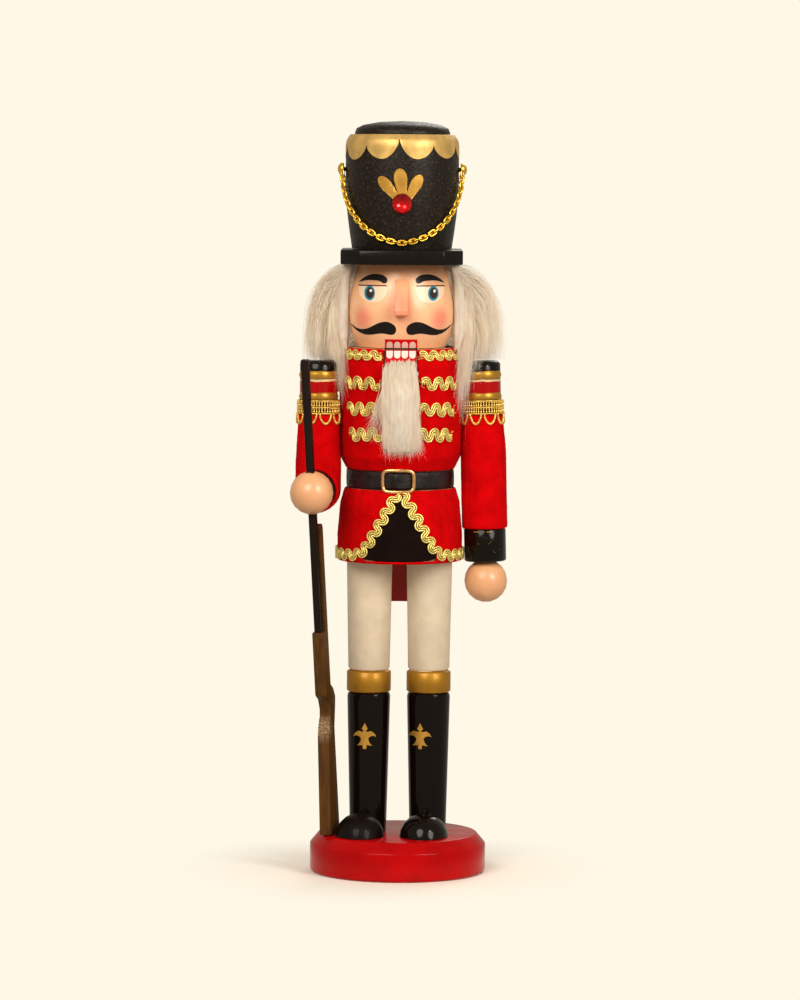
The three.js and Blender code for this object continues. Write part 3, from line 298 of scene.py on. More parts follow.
def fur_look(name, colour):
    """Fine pile: streaks along the hairs, and some light let through them."""
    look = Look(name, colour, 0.6, Specular_IOR_Level=0.15)
    dark, light = shades(colour, 0.9, 1.1)
    streaks = look.mix(look.span(look.noise(1.2, 4, (1, 1, 0.12)), 0.3, 0.7), dark, light)
    look.set("Base Color", streaks)
    look.bump(look.noise(0.5, 4, (1, 1, 0.08)), 0.2, 0.5)
    look.mix_shaders(0.46, look.shader.outputs[0], look.node("BsdfTranslucent", {"Color": streaks}))
    return look


def wood(name, dark, light, roughness):
    """Grain drawn out along the height, with pores and a cloudy stain."""
    look = Look(name, light, roughness, Coat_Roughness=0.25, Specular_IOR_Level=0.2)
    grain = look.span(look.noise(1.6, 5, (1, 1, 0.06)), 0.32, 0.68)
    pores = look.span(look.noise(0.4, 3, (1, 1, 0.05)), 0.55, 0.7)
    look.set("Base Color", look.lay(pores, 0.5, look.mix(grain, dark, light), dark))
    look.gloss(2, 4, roughness - 0.08, roughness + 0.1)
    look.bump(look.noise(0.7, 4, (1, 1, 0.06)), 0.06, 0.6)
    return look


def leather_look():
    """Thin strap of leather cloth: pebbled grain, with lighter grey patches that are partly wear and
    partly a painted sheen.
    """
    look = Look("belt_leather", (0.010, 0.006, 0.006), 0.42, Specular_IOR_Level=0.3)
    # lighter bluish grey patches: partly wear, partly painted sheen
    worn = look.span(look.noise(7, 4), 0.35, 0.7)
    look.set("Base Color", look.mix(worn, (0.006, 0.003, 0.002), (0.018, 0.012, 0.013)))
    look.gloss(3, 4, 0.32, 0.55)
    pebble = look.bump(look.cells(0.7, (1, 1, 0.5)), 0.16, 0.9)
    look.bump(look.noise(0.9, 4, (1, 1, 0.3)), 0.08, 0.6, pebble)
    return look


def hat_black():
    """Black crown paint over a grained wrap: brown speckles show through a satin black."""
    look = Look("hat_black", BLACK, 0.4, Specular_IOR_Level=0.2)
    speckle = look.span(look.cells(0.6, feature="SMOOTH_F1"), 0.1, 0.65)
    patch = look.span(look.noise(1.2, 5), 0.45, 0.72)
    brown = look.mix(patch, (0.010, 0.005, 0.002), (0.080, 0.044, 0.021))
    look.set("Base Color", look.mix(speckle, brown, (0.006, 0.004, 0.003)))
    look.gloss(1.0, 4, 0.3, 0.55)
    look.bump(look.noise(0.9, 5), 0.16, 1.0)
    return look


def skin_look(name, skin, rouge):
    """Skin lacquer; on the face, with rouge sprayed on the cheeks and the end of the nose, and the
    brim's shadow painted darker across the forehead.
    """
    look = Look(name, skin, 0.3, Coat_Weight=0.1, Coat_Roughness=0.14, Subsurface_Weight=0.06)
    look.set("Subsurface Radius", (0.004, 0.002, 0.001))
    colour = look.mottle(12, 3, skin, 0.93, 1.05)
    if rouge:
        for side, _ in SIDES:
            cheek = look.spot((side * CHEEK[0], CHEEK[1], HEAD_LOW + CHEEK[2]), 1.5, 7.6)
            colour = look.lay(cheek, 0.88, colour, BLUSH)
        tip = look.spot((NOSE_TIP[0], NOSE_TIP[1], HEAD_LOW + NOSE_TIP[2]), 2.0, 13.5)
        colour = look.lay(tip, 0.9, colour, NOSE_BLUSH)
        # painted shadow of the brim, darkening the forehead towards its top
        brim_shadow = look.span(look.axis("Z"), (BRIM_LOW - 13) * MM, (BRIM_LOW - 1) * MM)
        colour = look.lay(brim_shadow, 0.8, colour, BRIM_SHADE)
        look.set("Base Color", colour)
    look.gloss(8, 3, 0.26, 0.4)
    look.bump(look.noise(3.0, 2), 0.02, 0.6)
    return look


def gem_look(low, high):
    """Clear red stone over foil, its light painted in: painted shade darkening it from above, and a
    painted glow at its lower edge.
    """
    look = Look("red_gem", GEM_RED, 0.1, Coat_Weight=0.25, Coat_Roughness=0.02, Specular_IOR_Level=0.3)
    # painted light: the colour runs from a painted glow at the bottom to painted shade at the top
    share = look.span(look.axis("Z"), low * MM, high * MM)
    look.set("Base Color", look.mix(share, (1.0, 0.003, 0.004), (0.16, 0.0, 0.002)))
    look.set("Metallic", look.cloud(2, 3, 0.4, 0.6))
    return look


def new_object(name, data):
    made = bpy.data.objects.new(name, data)
    bpy.context.scene.collection.objects.link(made)
    return made


class Form:
    """Points and faces gathered into one mesh, each point with its distance along its cord."""

    def __init__(self):
        self.points, self.faces, self.along = [], [], []

    def add(self, points, faces, along=None):
        start = len(self.points)
        self.points.extend(tuple(p) for p in points)
        self.faces.extend(tuple(i + start for i in f) for f in faces)
        self.along.extend([0.0] * len(points) if along is None else along)
        return self

    def piece(self, name, look, body="root", smooth=True, stands_for=(), slot=None):
        mesh = bpy.data.meshes.new(name)
        mesh.from_pydata((np.array(self.points) * MM).tolist(), [], self.faces)
        along = mesh.attributes.new("along", "FLOAT", "POINT")
        along.data.foreach_set("value", np.array(self.along) * MM)
        cover(mesh, look, smooth)
        mesh.update()
        made = new_object(name, mesh)
        if body:
            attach(made, body)
        if stands_for:
            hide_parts(*stands_for)
        return made


def full_turn(count):
    return 2 * math.pi * np.arange(count) / count


def unit(vectors):
    return vectors / np.maximum(np.linalg.norm(vectors, axis=-1, keepdims=True), TINY)


def round_axis(r, turn, z):
    """Points at a radius and a height, turned from the front towards +X."""
    return np.stack(np.broadcast_arrays(r * np.sin(turn), -r * np.cos(turn), z), -1)


def front_y(r, x):
    """Where the front of a circle of radius r lies at x."""
    return -np.sqrt(np.maximum(0, r * r - x * x))


def distance_along(path):
    steps = np.linalg.norm(np.diff(path, axis=0), axis=1)
    return np.concatenate([[0], np.cumsum(steps)])


def walker(path):
    """The point at a distance along a path, as a function, and the path's length."""
    reach = distance_along(path)
    return lambda d: np.stack([np.interp(d, reach, column) for column in path.T], -1), reach[-1]


def quads(columns, rows, around=False, closed=False):
    """Faces over points stored column by column, whose columns and rows may each run round."""
    faces = []
    for k in range(columns if around else columns - 1):
        here, there = k * rows, (k + 1) % columns * rows
        for i in range(rows if closed else rows - 1):
            n = (i + 1) % rows
            faces.append((here + i, here + n, there + n, there + i))
    return faces


def add_loops(form, loops, around=False, along=None):
    """A skin over closed loops of points, with flat ends unless the last loop meets the first."""
    count, rows = len(loops), len(loops[0])
    faces = quads(count, rows, around, True)
    if not around:
        faces += [tuple(range(rows))[::-1], tuple(range((count - 1) * rows, count * rows))]
    form.add(np.reshape(loops, (-1, 3)), faces, along)


def tube(form, path, radius, sides=6, closed=False):
    """A round cord along path, in mm. radius may differ from point to point."""
    path = np.asarray(path, float)
    radii = np.broadcast_to(np.asarray(radius, float), (len(path),))
    before, after = np.roll(path, 1, 0), np.roll(path, -1, 0)
    if not closed:
        before[0], after[-1] = path[0], path[-1]
    ways = unit(after - before)
    side = np.cross(ways[0], (0.31, 0.17, 0.93))
    c, s = np.cos(full_turn(sides))[:, None], np.sin(full_turn(sides))[:, None]
    loops = []
    for spot, way, r in zip(path, ways, radii):
        side = unit(side - way * (side @ way))
        loops.append(spot + r * (c * side + s * np.cross(way, side)))
    add_loops(form, loops, closed, np.repeat(distance_along(path), sides).tolist())


def lathe(form, profile, sides, centre=(0, 0)):
    """[radius, height] pairs in mm turned about an upright axis."""
    x, y = centre
    turns = full_turn(sides)
    points = [(x + r * math.cos(t), y + r * math.sin(t), z) for r, z in profile for t in turns]
    form.add(points, quads(len(profile), sides, closed=True))


def smooth_line(points, steps=6, closed=False):
    """A Catmull-Rom curve through points."""
    pts = np.asarray(points, float)
    count = len(pts)
    made = []
    for i in range(count if closed else count - 1):
        near = range(i - 1, i + 3)
        a, b, c, d = (pts[k % count] if closed else pts[min(max(k, 0), count - 1)] for k in near)
        for t in np.arange(steps) / steps:
            square, cube = 2 * a - 5 * b + 4 * c - d, 3 * b - a - 3 * c + d
            made.append(0.5 * (2 * b + (c - a) * t + square * t**2 + cube * t**3))
    if not closed:
        made.append(pts[-1])
    return np.array(made)


def mesh_points(mesh):
    """A mesh's points, in mm."""
    points = np.zeros(len(mesh.vertices) * 3)
    mesh.vertices.foreach_get("co", points)
    return points.reshape(-1, 3) / MM


def move_points(mesh, points):
    mesh.vertices.foreach_set("co", points.ravel() * MM)
    mesh.update()


def cover(mesh, look, smooth=True):
    """Gives a mesh its one material, and its shading."""
    mesh.materials.clear()
    mesh.materials.append(look.material)
    mesh.polygons.foreach_set("use_smooth", [smooth] * len(mesh.polygons))


BORE_DIP = 0.6  # mm below its neighbours at which a corner belongs to a bore, not to the outside


def radius_curve(name, sides, centre=0.0):
    """A turned node's outer radius as a function of height, in mm, read from its own corners."""
    points = mesh_points(NODES[name].data) - (centre, 0, 0)
    turn = np.degrees(np.arctan2(points[:, 1], points[:, 0])) % (360 / sides)
    on_edge = np.minimum(turn, 360 / sides - turn) < 0.05
    rows = {}
    for x, y, z in points[on_edge]:
        key = round(z, 1)
        rows[key] = max(rows.get(key, 0), math.hypot(x, y))
    heights = sorted(rows)
    while True:
        inner = heights[1:-1]
        either = [heights[i:i + 3:2] for i in range(len(inner))]
        dips = [np.interp(z, pair, [rows[h] for h in pair]) - rows[z] for z, pair in zip(inner, either)]
        if not dips or max(dips) < BORE_DIP:
            break
        heights.remove(inner[int(np.argmax(dips))])
    radii = [rows[z] for z in heights]
    return lambda z: np.interp(z, heights, radii)


def box_mm(name):
    low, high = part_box(name)
    return np.array(low) / MM, np.array(high) / MM


def low_z(name):
    return box_mm(name)[0][2]


def high_z(name):
    return box_mm(name)[1][2]


def centre_mm(name):
    return sum(box_mm(name)) / 2


# Heights and sizes in mm, nearly all read from the frame
HEAD_RADIUS = radius_curve("head", 36)
CROWN_RADIUS = radius_curve("hat_crown", 36)
CHEST_RADIUS = radius_curve("coat_upper", 36)
SKIRT_RADIUS = radius_curve("coat_skirt", 36)
HEM_Z, CHEST_LOW, COLLAR_Z = low_z("coat_skirt"), low_z("coat_upper"), high_z("coat_upper")
BELT_LOW, BELT_HIGH, BELT_RADIUS = low_z("belt"), high_z("belt"), -box_mm("belt")[0][1]
HEAD_LOW, BRIM_LOW, CROWN_TOP = low_z("head"), low_z("hat_brim"), high_z("hat_crown") - 7.0
JAW_FRONT, JAW_TOP, JAW_HALF = box_mm("jaw_lever")[0][1], high_z("jaw_lever"), box_mm("jaw_lever")[1][0]
BOOT_TOP = low_z("leg_left") + 71.9
BAND_TOP = BOOT_TOP + 11.6
ARM_TOP = high_z("arm_right")
ARMS = {-1: (-41.67, -10.62), 1: (41.4, 0.0)}
ARM_LEAN = math.radians(1.6)
SHOULDER_Z = COLLAR_Z - 19.5
STUD_Z = centre_mm("chain_stud_left")[2]
PALE_PATCH = (-38.4, -19.8, BOOT_TOP - 17)

# Face: x from its middle, height above the head's underside, in mm
CHEEK = (19.8, -19.0, 14.8)
NOSE_TIP = (0.0, -34.0, 20.2)
MOUSTACHE = [
    (25.9, 12.1), (23.7, 9.6), (20.8, 7.6), (17.5, 6.7), (14.2, 6.9), (10.5, 7.5), (7.7, 7.3),
    (5.3, 6.9), (3.5, 7.3), (2.6, 9.0), (3.0, 11.1), (4.9, 12.7), (7.5, 13.5), (10.5, 13.1),
    (13.3, 11.9), (16.1, 10.4), (19.0, 9.5), (21.8, 9.7), (24.0, 10.8),
]
BROW = [
    (21.7, 33.2), (19.1, 35.5), (16.3, 36.9), (13.0, 37.4), (9.8, 37.0), (7.6, 35.6), (7.1, 34.2),
    (7.9, 32.9), (9.3, 32.9), (11.1, 33.9), (14.4, 34.3), (17.7, 34.2), (20.1, 33.6),
]
EYE_X, EYE_Z = 16.1, 27.8
LID_FROM, LID_TO, LID_Z, LID_HALF = 7.5, 21.9, 31.6, 0.28


def on_turning(radius_at, lift, centre=0.0, rise=0.0):
    """Puts a flat (x, z) drawing, whose z counts from rise, on the front of a turning."""
    return lambda x, z: (x, front_y(radius_at(z + rise) + lift, x - centre), z + rise)


def paint(name, outlines, place, look, body="root", cell=1.5):
    """Paint in the shape of closed (x, z) outlines, cut into cells so that it follows the surface."""
    form = bmesh.new()
    for outline in outlines:
        form.faces.new([form.verts.new((x, 0, z)) for x, z in outline])
    form.normal_update()
    bmesh.ops.triangulate(form, faces=form.faces[:], ngon_method="EAR_CLIP")
    everything = np.array([v.co for v in form.verts])
    for axis, way in ((0, (1, 0, 0)), (2, (0, 0, 1))):
        low, high = everything[:, axis].min(), everything[:, axis].max()
        for at in np.arange(math.ceil(low / cell) * cell, high, cell):
            parts = form.verts[:] + form.edges[:] + form.faces[:]
            spot = [at * share for share in way]
            bmesh.ops.bisect_plane(form, geom=parts, plane_co=spot, plane_no=way, dist=1e-5)
    form.normal_update()
    points = [place(v.co.x, v.co.z) for v in form.verts]
    form.verts.index_update()
    faces = [[v.index for v in face.verts][:: 1 if face.normal.y < 0 else -1] for face in form.faces]
    form.free()
    return Form().add(points, faces).piece(name, look, body)


def ellipse(x, z, wide, high, count=28, power=1.0):
    """An ellipse, or below power 1 a squarer loop."""
    turns = full_turn(count)
    u, v = (np.copysign(np.abs(n) ** power, n) for n in (np.cos(turns), np.sin(turns)))
    return np.stack([x + wide * u, z + high * v], 1)


def rectangle(left, right, low, high):
    return [(left, low), (right, low), (right, high), (left, high)]


def clipped(outline, top):
    return np.minimum(outline, (math.inf, top))


def mirrored(outline, side):
    return np.multiply(outline, (side, 1))


def finish_node(name, look, bevel=0.0, angle=35):
    """Gives a rigid CAD node its material, eased edges and smooth shading."""
    node = NODES[name]
    cover(node.data, look)
    if "custom_normal" in node.data.attributes:
        node.data.attributes.remove(node.data.attributes["custom_normal"])
    node.modifiers.new("weld", "WELD").merge_threshold = WELD
    if bevel:
        ease = node.modifiers.new("ease", "BEVEL")
        ease.width, ease.segments, ease.limit_method = bevel * MM, 2, "ANGLE"
        ease.angle_limit = math.radians(30)
        ease.use_clamp_overlap = True
    node.modifiers.new("split", "EDGE_SPLIT").split_angle = math.radians(angle)


def camera():
    lens = bpy.data.cameras.new("camera")
    lens.sensor_width, lens.sensor_fit = 36.0, "AUTO"
    lens.lens = FOCAL_PIXELS / LONG_SIDE_PIXELS * lens.sensor_width
    lens.clip_start, lens.clip_end = 0.05, 50
    eye = new_object("camera", lens)
    turn = (Vector(AIM) - Vector(EYE)).to_track_quat("-Z", "Y").to_matrix().to_4x4()
    roll = Matrix.Rotation(math.radians(CAMERA_ROLL), 4, "Z")
    eye.matrix_world = Matrix.Translation(Vector(EYE) * MM) @ turn @ roll
    bpy.context.scene.camera = eye


def lamp(name, place, size, power, colour):
    light = bpy.data.lights.new(name, "AREA")
    light.shape, light.size, light.energy, light.color = "DISK", size, power, colour
    made = new_object(name, light)
    made.location = place
    made.rotation_euler = (LAMP_AIM - Vector(place)).to_track_quat("-Z", "Y").to_euler()


def studio():
    """Soft lamps, a pale room that shows as the cream backdrop, and a floor that fades into it."""
    lamp("key", (-0.7, -1.6, 1.3), 1.2, 27, (1.0, 0.95, 0.87))
    lamp("fill", (1.2, -1.4, 0.9), 0.9, 18, (1.0, 0.95, 0.88))
    lamp("window", (0.75, -0.9, 0.95), 0.16, 2.2, (0.86, 0.93, 1.0))
    lamp("back", (0.4, 1.6, 1.3), 1.0, 10, (1.0, 0.97, 0.92))
    world = bpy.data.worlds.new("room")
    bpy.context.scene.world = world
    world.use_nodes = True
    tree = world.node_tree
    tree.nodes.clear()
    backgrounds = ((ROOM_LIGHT, 0.40), (CREAM_BACKDROP, 0.45), (CREAM_BACKDROP, 1.0))
    room, mirror, seen = (
        add_node(tree, "Background", {0: (*colour, 1), 1: power}) for colour, power in backgrounds
    )
    kinds = ("Is Glossy Ray", "Is Transmission Ray", "Is Camera Ray")
    glossy, through, direct = (add_node(tree, "LightPath", {}, kind) for kind in kinds)
    in_gloss = add_node(tree, "Math", {0: glossy, 1: through}, operation="MAXIMUM")
    shine = add_node(tree, "MixShader", {0: in_gloss, 1: room, 2: mirror})
    add_node(tree, "OutputWorld", {0: add_node(tree, "MixShader", {0: direct, 1: shine, 2: seen})})
    floor_disc()


def floor_disc():
    """A disc under the figure that fades out into the backdrop."""
    look = Look("floor", (0.95, 0.89, 0.78), 0.9, Specular_IOR_Level=0.1)
    away = look.node("VectorMath", {0: look.here()}, "Value", operation="LENGTH")
    fade = look.span(away, 0.05, 0.13, 1.0, 0.0)
    look.mix_shaders(fade, look.node("BsdfTransparent", {}), look.shader.outputs[0])
    form = Form()
    lathe(form, [(0.01, -0.05), (60, -0.05), (250, -0.05)], 64)
    form.faces = [f[::-1] for f in form.faces]
    form.piece("floor", look, body=None)


# Looks shared by several pieces
RED_GLOSS = lacquer("red_lacquer", RED_LACQUER, 0.2)
JAW_RED = lacquer("jaw_red", DARK_RED, 0.3, coat=0.3)
BLACK_GLOSS = lacquer("black_lacquer", BLACK, 0.14, 0.03, coat=0.25)
WORN_BLACK = lacquer("worn_black", BLACK, 0.45, 0.06)
BARREL_BLACK = lacquer("barrel_black", (0.012, 0.006, 0.004), 0.4, 0.05, coat=0.1)
SKIN_GLOSS = skin_look("skin_lacquer", SKIN, True)
NOSE_GLOSS = skin_look("nose_gloss", (0.98, 0.45, 0.23), True)
# painted shade: the hands take a darker copy of the skin lacquer
SHADED_HAND_GLOSS = skin_look("shaded_hand_lacquer", SHADED_HAND_SKIN, False)
RED_CLOTH = felt("red_felt", RED_FELT, (1.0, 0.10, 0.08))
# dark brown felt behind the epaulette trim: painted shade showing in the gaps between its cords
TRIM_GAP_SHADE = felt("trim_backing", (0.10, 0.035, 0.006), (0.5, 0.3, 0.1))
BLACK_CLOTH = felt("black_felt", BLACK_FELT, (0.5, 0.45, 0.4))
GILT = gilt_cord("gilt_cord", (1.0, 0.72, 0.20))
TRIM_GILT = gilt_cord("trim_gilt", (1.0, 0.56, 0.11))
BRASS = metal("brass", (1.0, 0.60, 0.07), 0.28)
COPPER_GILT = metal("copper_gilt", (1.0, 0.55, 0.22), 0.24)
STEEL = metal("steel", (0.55, 0.55, 0.56), 0.35)
BARE_WOOD = wood("bare_wood", (0.42, 0.25, 0.12), (0.62, 0.42, 0.22), 0.65)
BRIM_BLACK = lacquer("brim_black", (0.007, 0.004, 0.003), 0.26, 0.05, coat=0.2)
GOLD_LEAF = gold_paint("gold_paint")
PALE_GOLD = gold_paint("pale_gold", (0.68, 0.42, 0.12))
FUR_LOOK = fur_look("white_fur", FUR)


def dress_plain():
    """The nodes that only need their material: inner parts, base, jaw, shoes, hands and rifle."""
    stain = with_pale_patch(wood("rifle_wood", (0.060, 0.020, 0.002), (0.100, 0.038, 0.003), 0.5))
    plain = {"torso": (BARE_WOOD,), "base": (RED_GLOSS, 0.35), "jaw_lever": (JAW_RED, 0.3)}
    plain |= {name: (BARE_WOOD, 0, 40) for name in NODES if "dowel" in name}
    plain |= {name: (STEEL, 0, 40) for name in ("base_screw_left", "base_screw_right", "pivot_pin")}
    plain |= {"foot_left": (WORN_BLACK, 0, 50), "foot_right": (BLACK_GLOSS, 0, 50)}
    plain |= {"hand_left": (SHADED_HAND_GLOSS, 0, 60), "hand_right": (SHADED_HAND_GLOSS, 0, 60)}
    plain |= {"head": (SKIN_GLOSS, 0, 50), "nose": (NOSE_GLOSS, 0.5)}
    plain |= {"rifle_barrel": (BARREL_BLACK, 0.3), "rifle_stock": (stain, 0.45)}
    plain["forearm_left"] = (BLACK_GLOSS, 0.3, 50)
    plain |= {"hat_crown": (hat_black(), 0, 50), "hat_brim": (BRIM_BLACK, 0.4)}
    for name, finish in plain.items():
        finish_node(name, *finish)


# Half of the boots' lily, from its tip down: distance from its middle, height above its foot
LILY = [
    (0, 13.4), (0.6, 12.2), (1.5, 10.5), (0.8, 9.6), (0.4, 9.0), (1.6, 8.9), (3.1, 9.3), (4.4, 8.6),
    (5.3, 7.5), (5.9, 6.2), (5.0, 6.7), (3.8, 6.8), (2.4, 6.2), (1.8, 5.2), (2.2, 3.8), (3.0, 2.6),
    (3.9, 1.7), (2.5, 1.8), (1.0, 2.1), (0.95, 0.4), (0.55, 0),
]
LILY_DROP = 28.4  # from the boot's top to the lily's foot


def dress_legs():
    """Cream thighs over a gold band and black boots, each boot with a painted lily."""
    sockets = {"Coat_Weight": 0.2, "Coat_Roughness": 0.07, "Specular_IOR_Level": 0.08}
    look = Look("leg_paint", CREAM_PAINT, 0.3, **sockets)
    zones = [(BOOT_TOP, (0.40, 0.185, 0.016), 0.6, 0.42), (BAND_TOP, CREAM_PAINT, 0.0, 0.36)]
    painted_zones(look, zones, (BLACK, 0.0, 0.12))
    whole = LILY + [(-u, v) for u, v in LILY[:0:-1]]
    for (_, word), shift in zip(SIDES, (-1.9, -4.2)):
        finish_node("leg_" + word, look, angle=50)
        middle = centre_mm("leg_" + word)[0]
        place = on_turning(radius_curve("leg_" + word, 24, middle), 0.08, middle)
        outline = [(middle + shift + u, BOOT_TOP - LILY_DROP + v) for u, v in whole]
        paint("boot_lily_" + word, [outline], place, GOLD_LEAF, cell=1.0)


def dress_head():
    white = Look("eye_white", (0.97, 0.68, 0.45), 0.35, Coat_Weight=0.1)
    teal = lacquer("iris_teal", (0.03, 0.24, 0.34), 0.2)
    pupil = lacquer("pupil_brown", (0.045, 0.030, 0.022), 0.2)
    glint = Look("glint_white", (0.95, 0.95, 0.92), 0.2)
    brown = lacquer("lid_brown", (0.07, 0.018, 0.010), 0.3)
    ink = lacquer("ink_black", INK, 0.4, 0.02, coat=0.04)
    lid = rectangle(LID_FROM, LID_TO, LID_Z - LID_HALF, LID_Z + LID_HALF)
    for side, word in SIDES:
        x = side * EYE_X
        ball = ellipse(x - side * 1.6, EYE_Z + 1.6, 7.2, 6.4, 32)
        for name, outline, lift, look in (
            ("eye_white", clipped(ball, LID_Z), 0.05, white),
            ("iris", clipped(ellipse(x, EYE_Z, 2.7, 3.7), LID_Z), 0.09, teal),
            ("pupil", ellipse(x + 0.1, EYE_Z + 0.1, 1.9, 2.8), 0.13, pupil),
            ("glint", ellipse(x + 0.6, EYE_Z + 1.2, 0.62, 0.75, 14), 0.17, glint),
            ("lid", mirrored(lid, side), 0.17, brown),
            ("brow", smooth_line(mirrored(BROW, side), 3, True), 0.1, ink),
            ("moustache", smooth_line(mirrored(MOUSTACHE, side), 3, True), 0.1, ink),
        ):
            paint(f"{name}_{word}", [outline], on_turning(HEAD_RADIUS, lift, rise=HEAD_LOW), look)


def tooth(x, wide, low, high, down):
    """A tooth with one rounded end: down is True where that end is the lower one."""
    half = wide / 2
    arc = [(half * math.cos(t), half * math.sin(t)) for t in np.linspace(0, math.pi, 9)]
    if down:
        return [(x - half, high), (x + half, high)][::-1] + [(x - u, low + half - v) for u, v in arc]
    return [(x - half, low), (x + half, low)] + [(x + u, high - half + v) for u, v in arc]


def dress_mouth():
    """Gums and teeth: the upper row on the head, the lower row on the front of the jaw."""
    gum = lacquer("gum_red", (0.66, 0.008, 0.012), 0.2)
    upper = lacquer("upper_tooth", (0.84, 0.58, 0.46), 0.25)
    lower = lacquer("lower_tooth", TOOTH, 0.2)
    low, top, half = HEAD_LOW + 0.1, JAW_TOP - 0.4, JAW_HALF - 0.3
    paint("upper_gum", [rectangle(-8.2, 8.2, low, low + 4.5)], on_turning(HEAD_RADIUS, 0.06), gum)
    teeth = [tooth(x, 3.1, low + 0.05, low + 3.3, False) for x in (-5.8, -1.95, 1.95, 5.8)]
    paint("upper_teeth", teeth, on_turning(HEAD_RADIUS, 0.12), upper, cell=1.0)
    board = rectangle(-half, half, JAW_TOP - 12, top)
    paint("lower_gum", [board], lambda x, z: (x, JAW_FRONT - 0.05, z), gum, "jaw")
    teeth = [tooth(x, 3.2, JAW_TOP - 4.3, top - 0.05, True) for x in (-5.75, -1.9, 1.9, 5.75)]
    paint("lower_teeth", teeth, lambda x, z: (x, JAW_FRONT - 0.11, z), lower, "jaw", 1.0)


LOBES = 10
LOBE_START = -3.0
WIDEST = 0.68  # share of a petal's length at which it is widest


def dress_hat():
    scallops()
    x, z = 0.7, centre_mm("hat_jewel")[2]
    petals = [
        petal((x - 2.2, z + 17.5), (x, z + 1), 3.4),
        petal((x - 12.4, z + 13.3), (x - 1.0, z), 2.9),
        petal((x + 8.8, z + 14.3), (x + 1.0, z), 2.9),
    ]
    for number, outline in enumerate(petals, 1):
        paint(f"hat_petal_{number}", [outline], on_turning(CROWN_RADIUS, 0.09), GOLD_LEAF)
    gem(z)
    for side, word in SIDES:
        stud(side, word)


def stud(side, word):
    """A domed stud on its short neck, driven into the side of the crown."""
    low, high = box_mm("chain_stud_" + word)
    outer, inner = (low[0], high[0]) if side < 0 else (high[0], low[0])
    middle, radius, dome, neck = (low + high) / 2, (high[2] - low[2]) / 2, 2.9, 1.1
    length = abs(inner - outer) - 0.1
    arc = [(radius * math.sin(t), dome * (1 - math.cos(t))) for t in np.linspace(0.2, math.pi / 2, 8)]
    back = [(radius - 0.3, dome + 0.25), (neck, dome + 0.1), (neck, length), (0.02, length)]
    form = Form()
    lathe(form, [(0.02, 0.0)] + arc + back, 24)
    form.points = [(outer - side * z, middle[1] + y, middle[2] + side * x) for x, y, z in form.points]
    form.faces = [f[::-1] for f in form.faces]
    form.piece("stud_" + word, BRASS, stands_for=["chain_stud_" + word], slot="brass")


def petal(tip, root, half):
    """A leaf from root to tip, widest near its round tip."""
    root, tip = np.array(root), np.array(tip)
    length = np.linalg.norm(tip - root)
    way = (tip - root) / length
    side = np.array((-way[1], way[0]))
    made = []
    spacing = np.sin(np.linspace(0, math.pi / 2, 20))
    for sign, shares in ((1, spacing), (-1, spacing[-2:0:-1])):
        for t in shares:
            past = max(0, (t - WIDEST) / (1 - WIDEST))
            wide = half * (0.42 + 0.58 * t / WIDEST if t < WIDEST else math.sqrt(max(0, 1 - past**2)))
            made.append(tuple(root + way * length * t + sign * side * wide))
    return made


def scallops():
    """Gold lobes hanging from the crown's upper edge, as one painted skin over the rounded shoulder."""
    angle, row, lobe = np.arange(360)[:, None], np.arange(12), 360 / LOBES
    number, within = np.divmod((angle - LOBE_START) % 360, lobe)
    within = within / lobe * 2 - 1
    at_front = np.where(within < 0, number, (number + 1) % LOBES) == 0
    peak = CROWN_TOP - np.where(at_front, 1.6, 5.2)
    low = CROWN_TOP - 12.3 + 0.5 * np.sin(2.1 * number)
    edge = low + (peak - low) * (1 - np.maximum(0, 1 - np.abs(within) ** 1.9) ** 0.62)
    z = CROWN_TOP - (CROWN_TOP - edge) * (row / row[-1]) ** 1.7
    points = round_axis(CROWN_RADIUS(z) + 0.13, np.radians(angle), z + 0.12 * (row < 3))
    Form().add(points.reshape(-1, 3), quads(*z.shape, around=True)).piece("hat_scallops", PALE_GOLD)


def gem(z):
    """A faceted round stone in a shallow cup."""
    low, high = box_mm("hat_jewel")
    back, depth, radius = high[1], high[1] - low[1], (high[0] - low[0]) / 2
    rings = [(1.0, 0.0), (1.0, 0.25), (0.86, 0.62), (0.56, 1.0), (0.30, 0.80)]
    count, loops, faces = 14, [], []
    for row, (share, rise) in enumerate(rings):
        r, y = radius * share, back - depth * rise
        turns = full_turn(count) + row % 2 * math.pi / count
        loops += [(r * math.cos(t), y, z + r * math.sin(t)) for t in turns]
        for k in range(count if row else 0):
            c, d = row * count + k, row * count + (k + 1) % count
            a, b = c - count, d - count
            faces += [(a, b, c), (b, d, c)] if row % 2 else [(a, b, d), (a, d, c)]
    faces += [tuple(range(4 * count, 5 * count)), tuple(range(count))[::-1]]
    stone, look = Form().add(loops, faces), gem_look(low[2], high[2])
    stone.piece("jewel_stone", look, smooth=False, stands_for=["hat_jewel"], slot="red_gem")


def chain_curve():
    """The chain's middle line on the front of the crown, from stud to stud."""
    t = np.linspace(-1, 1, 400)
    x = (box_mm("hat_chain")[1][0] - 0.9) * np.sin(t * math.pi / 2)
    fall = 0.12 * (1 - np.abs(t)) + 0.88 * (1 - t * t) ** 1.02
    z = STUD_Z - 0.8 - (STUD_Z - low_z("hat_chain") - 2.5) * fall
    return np.stack([x, front_y(CROWN_RADIUS(z) + 1.95, x), z], 1)


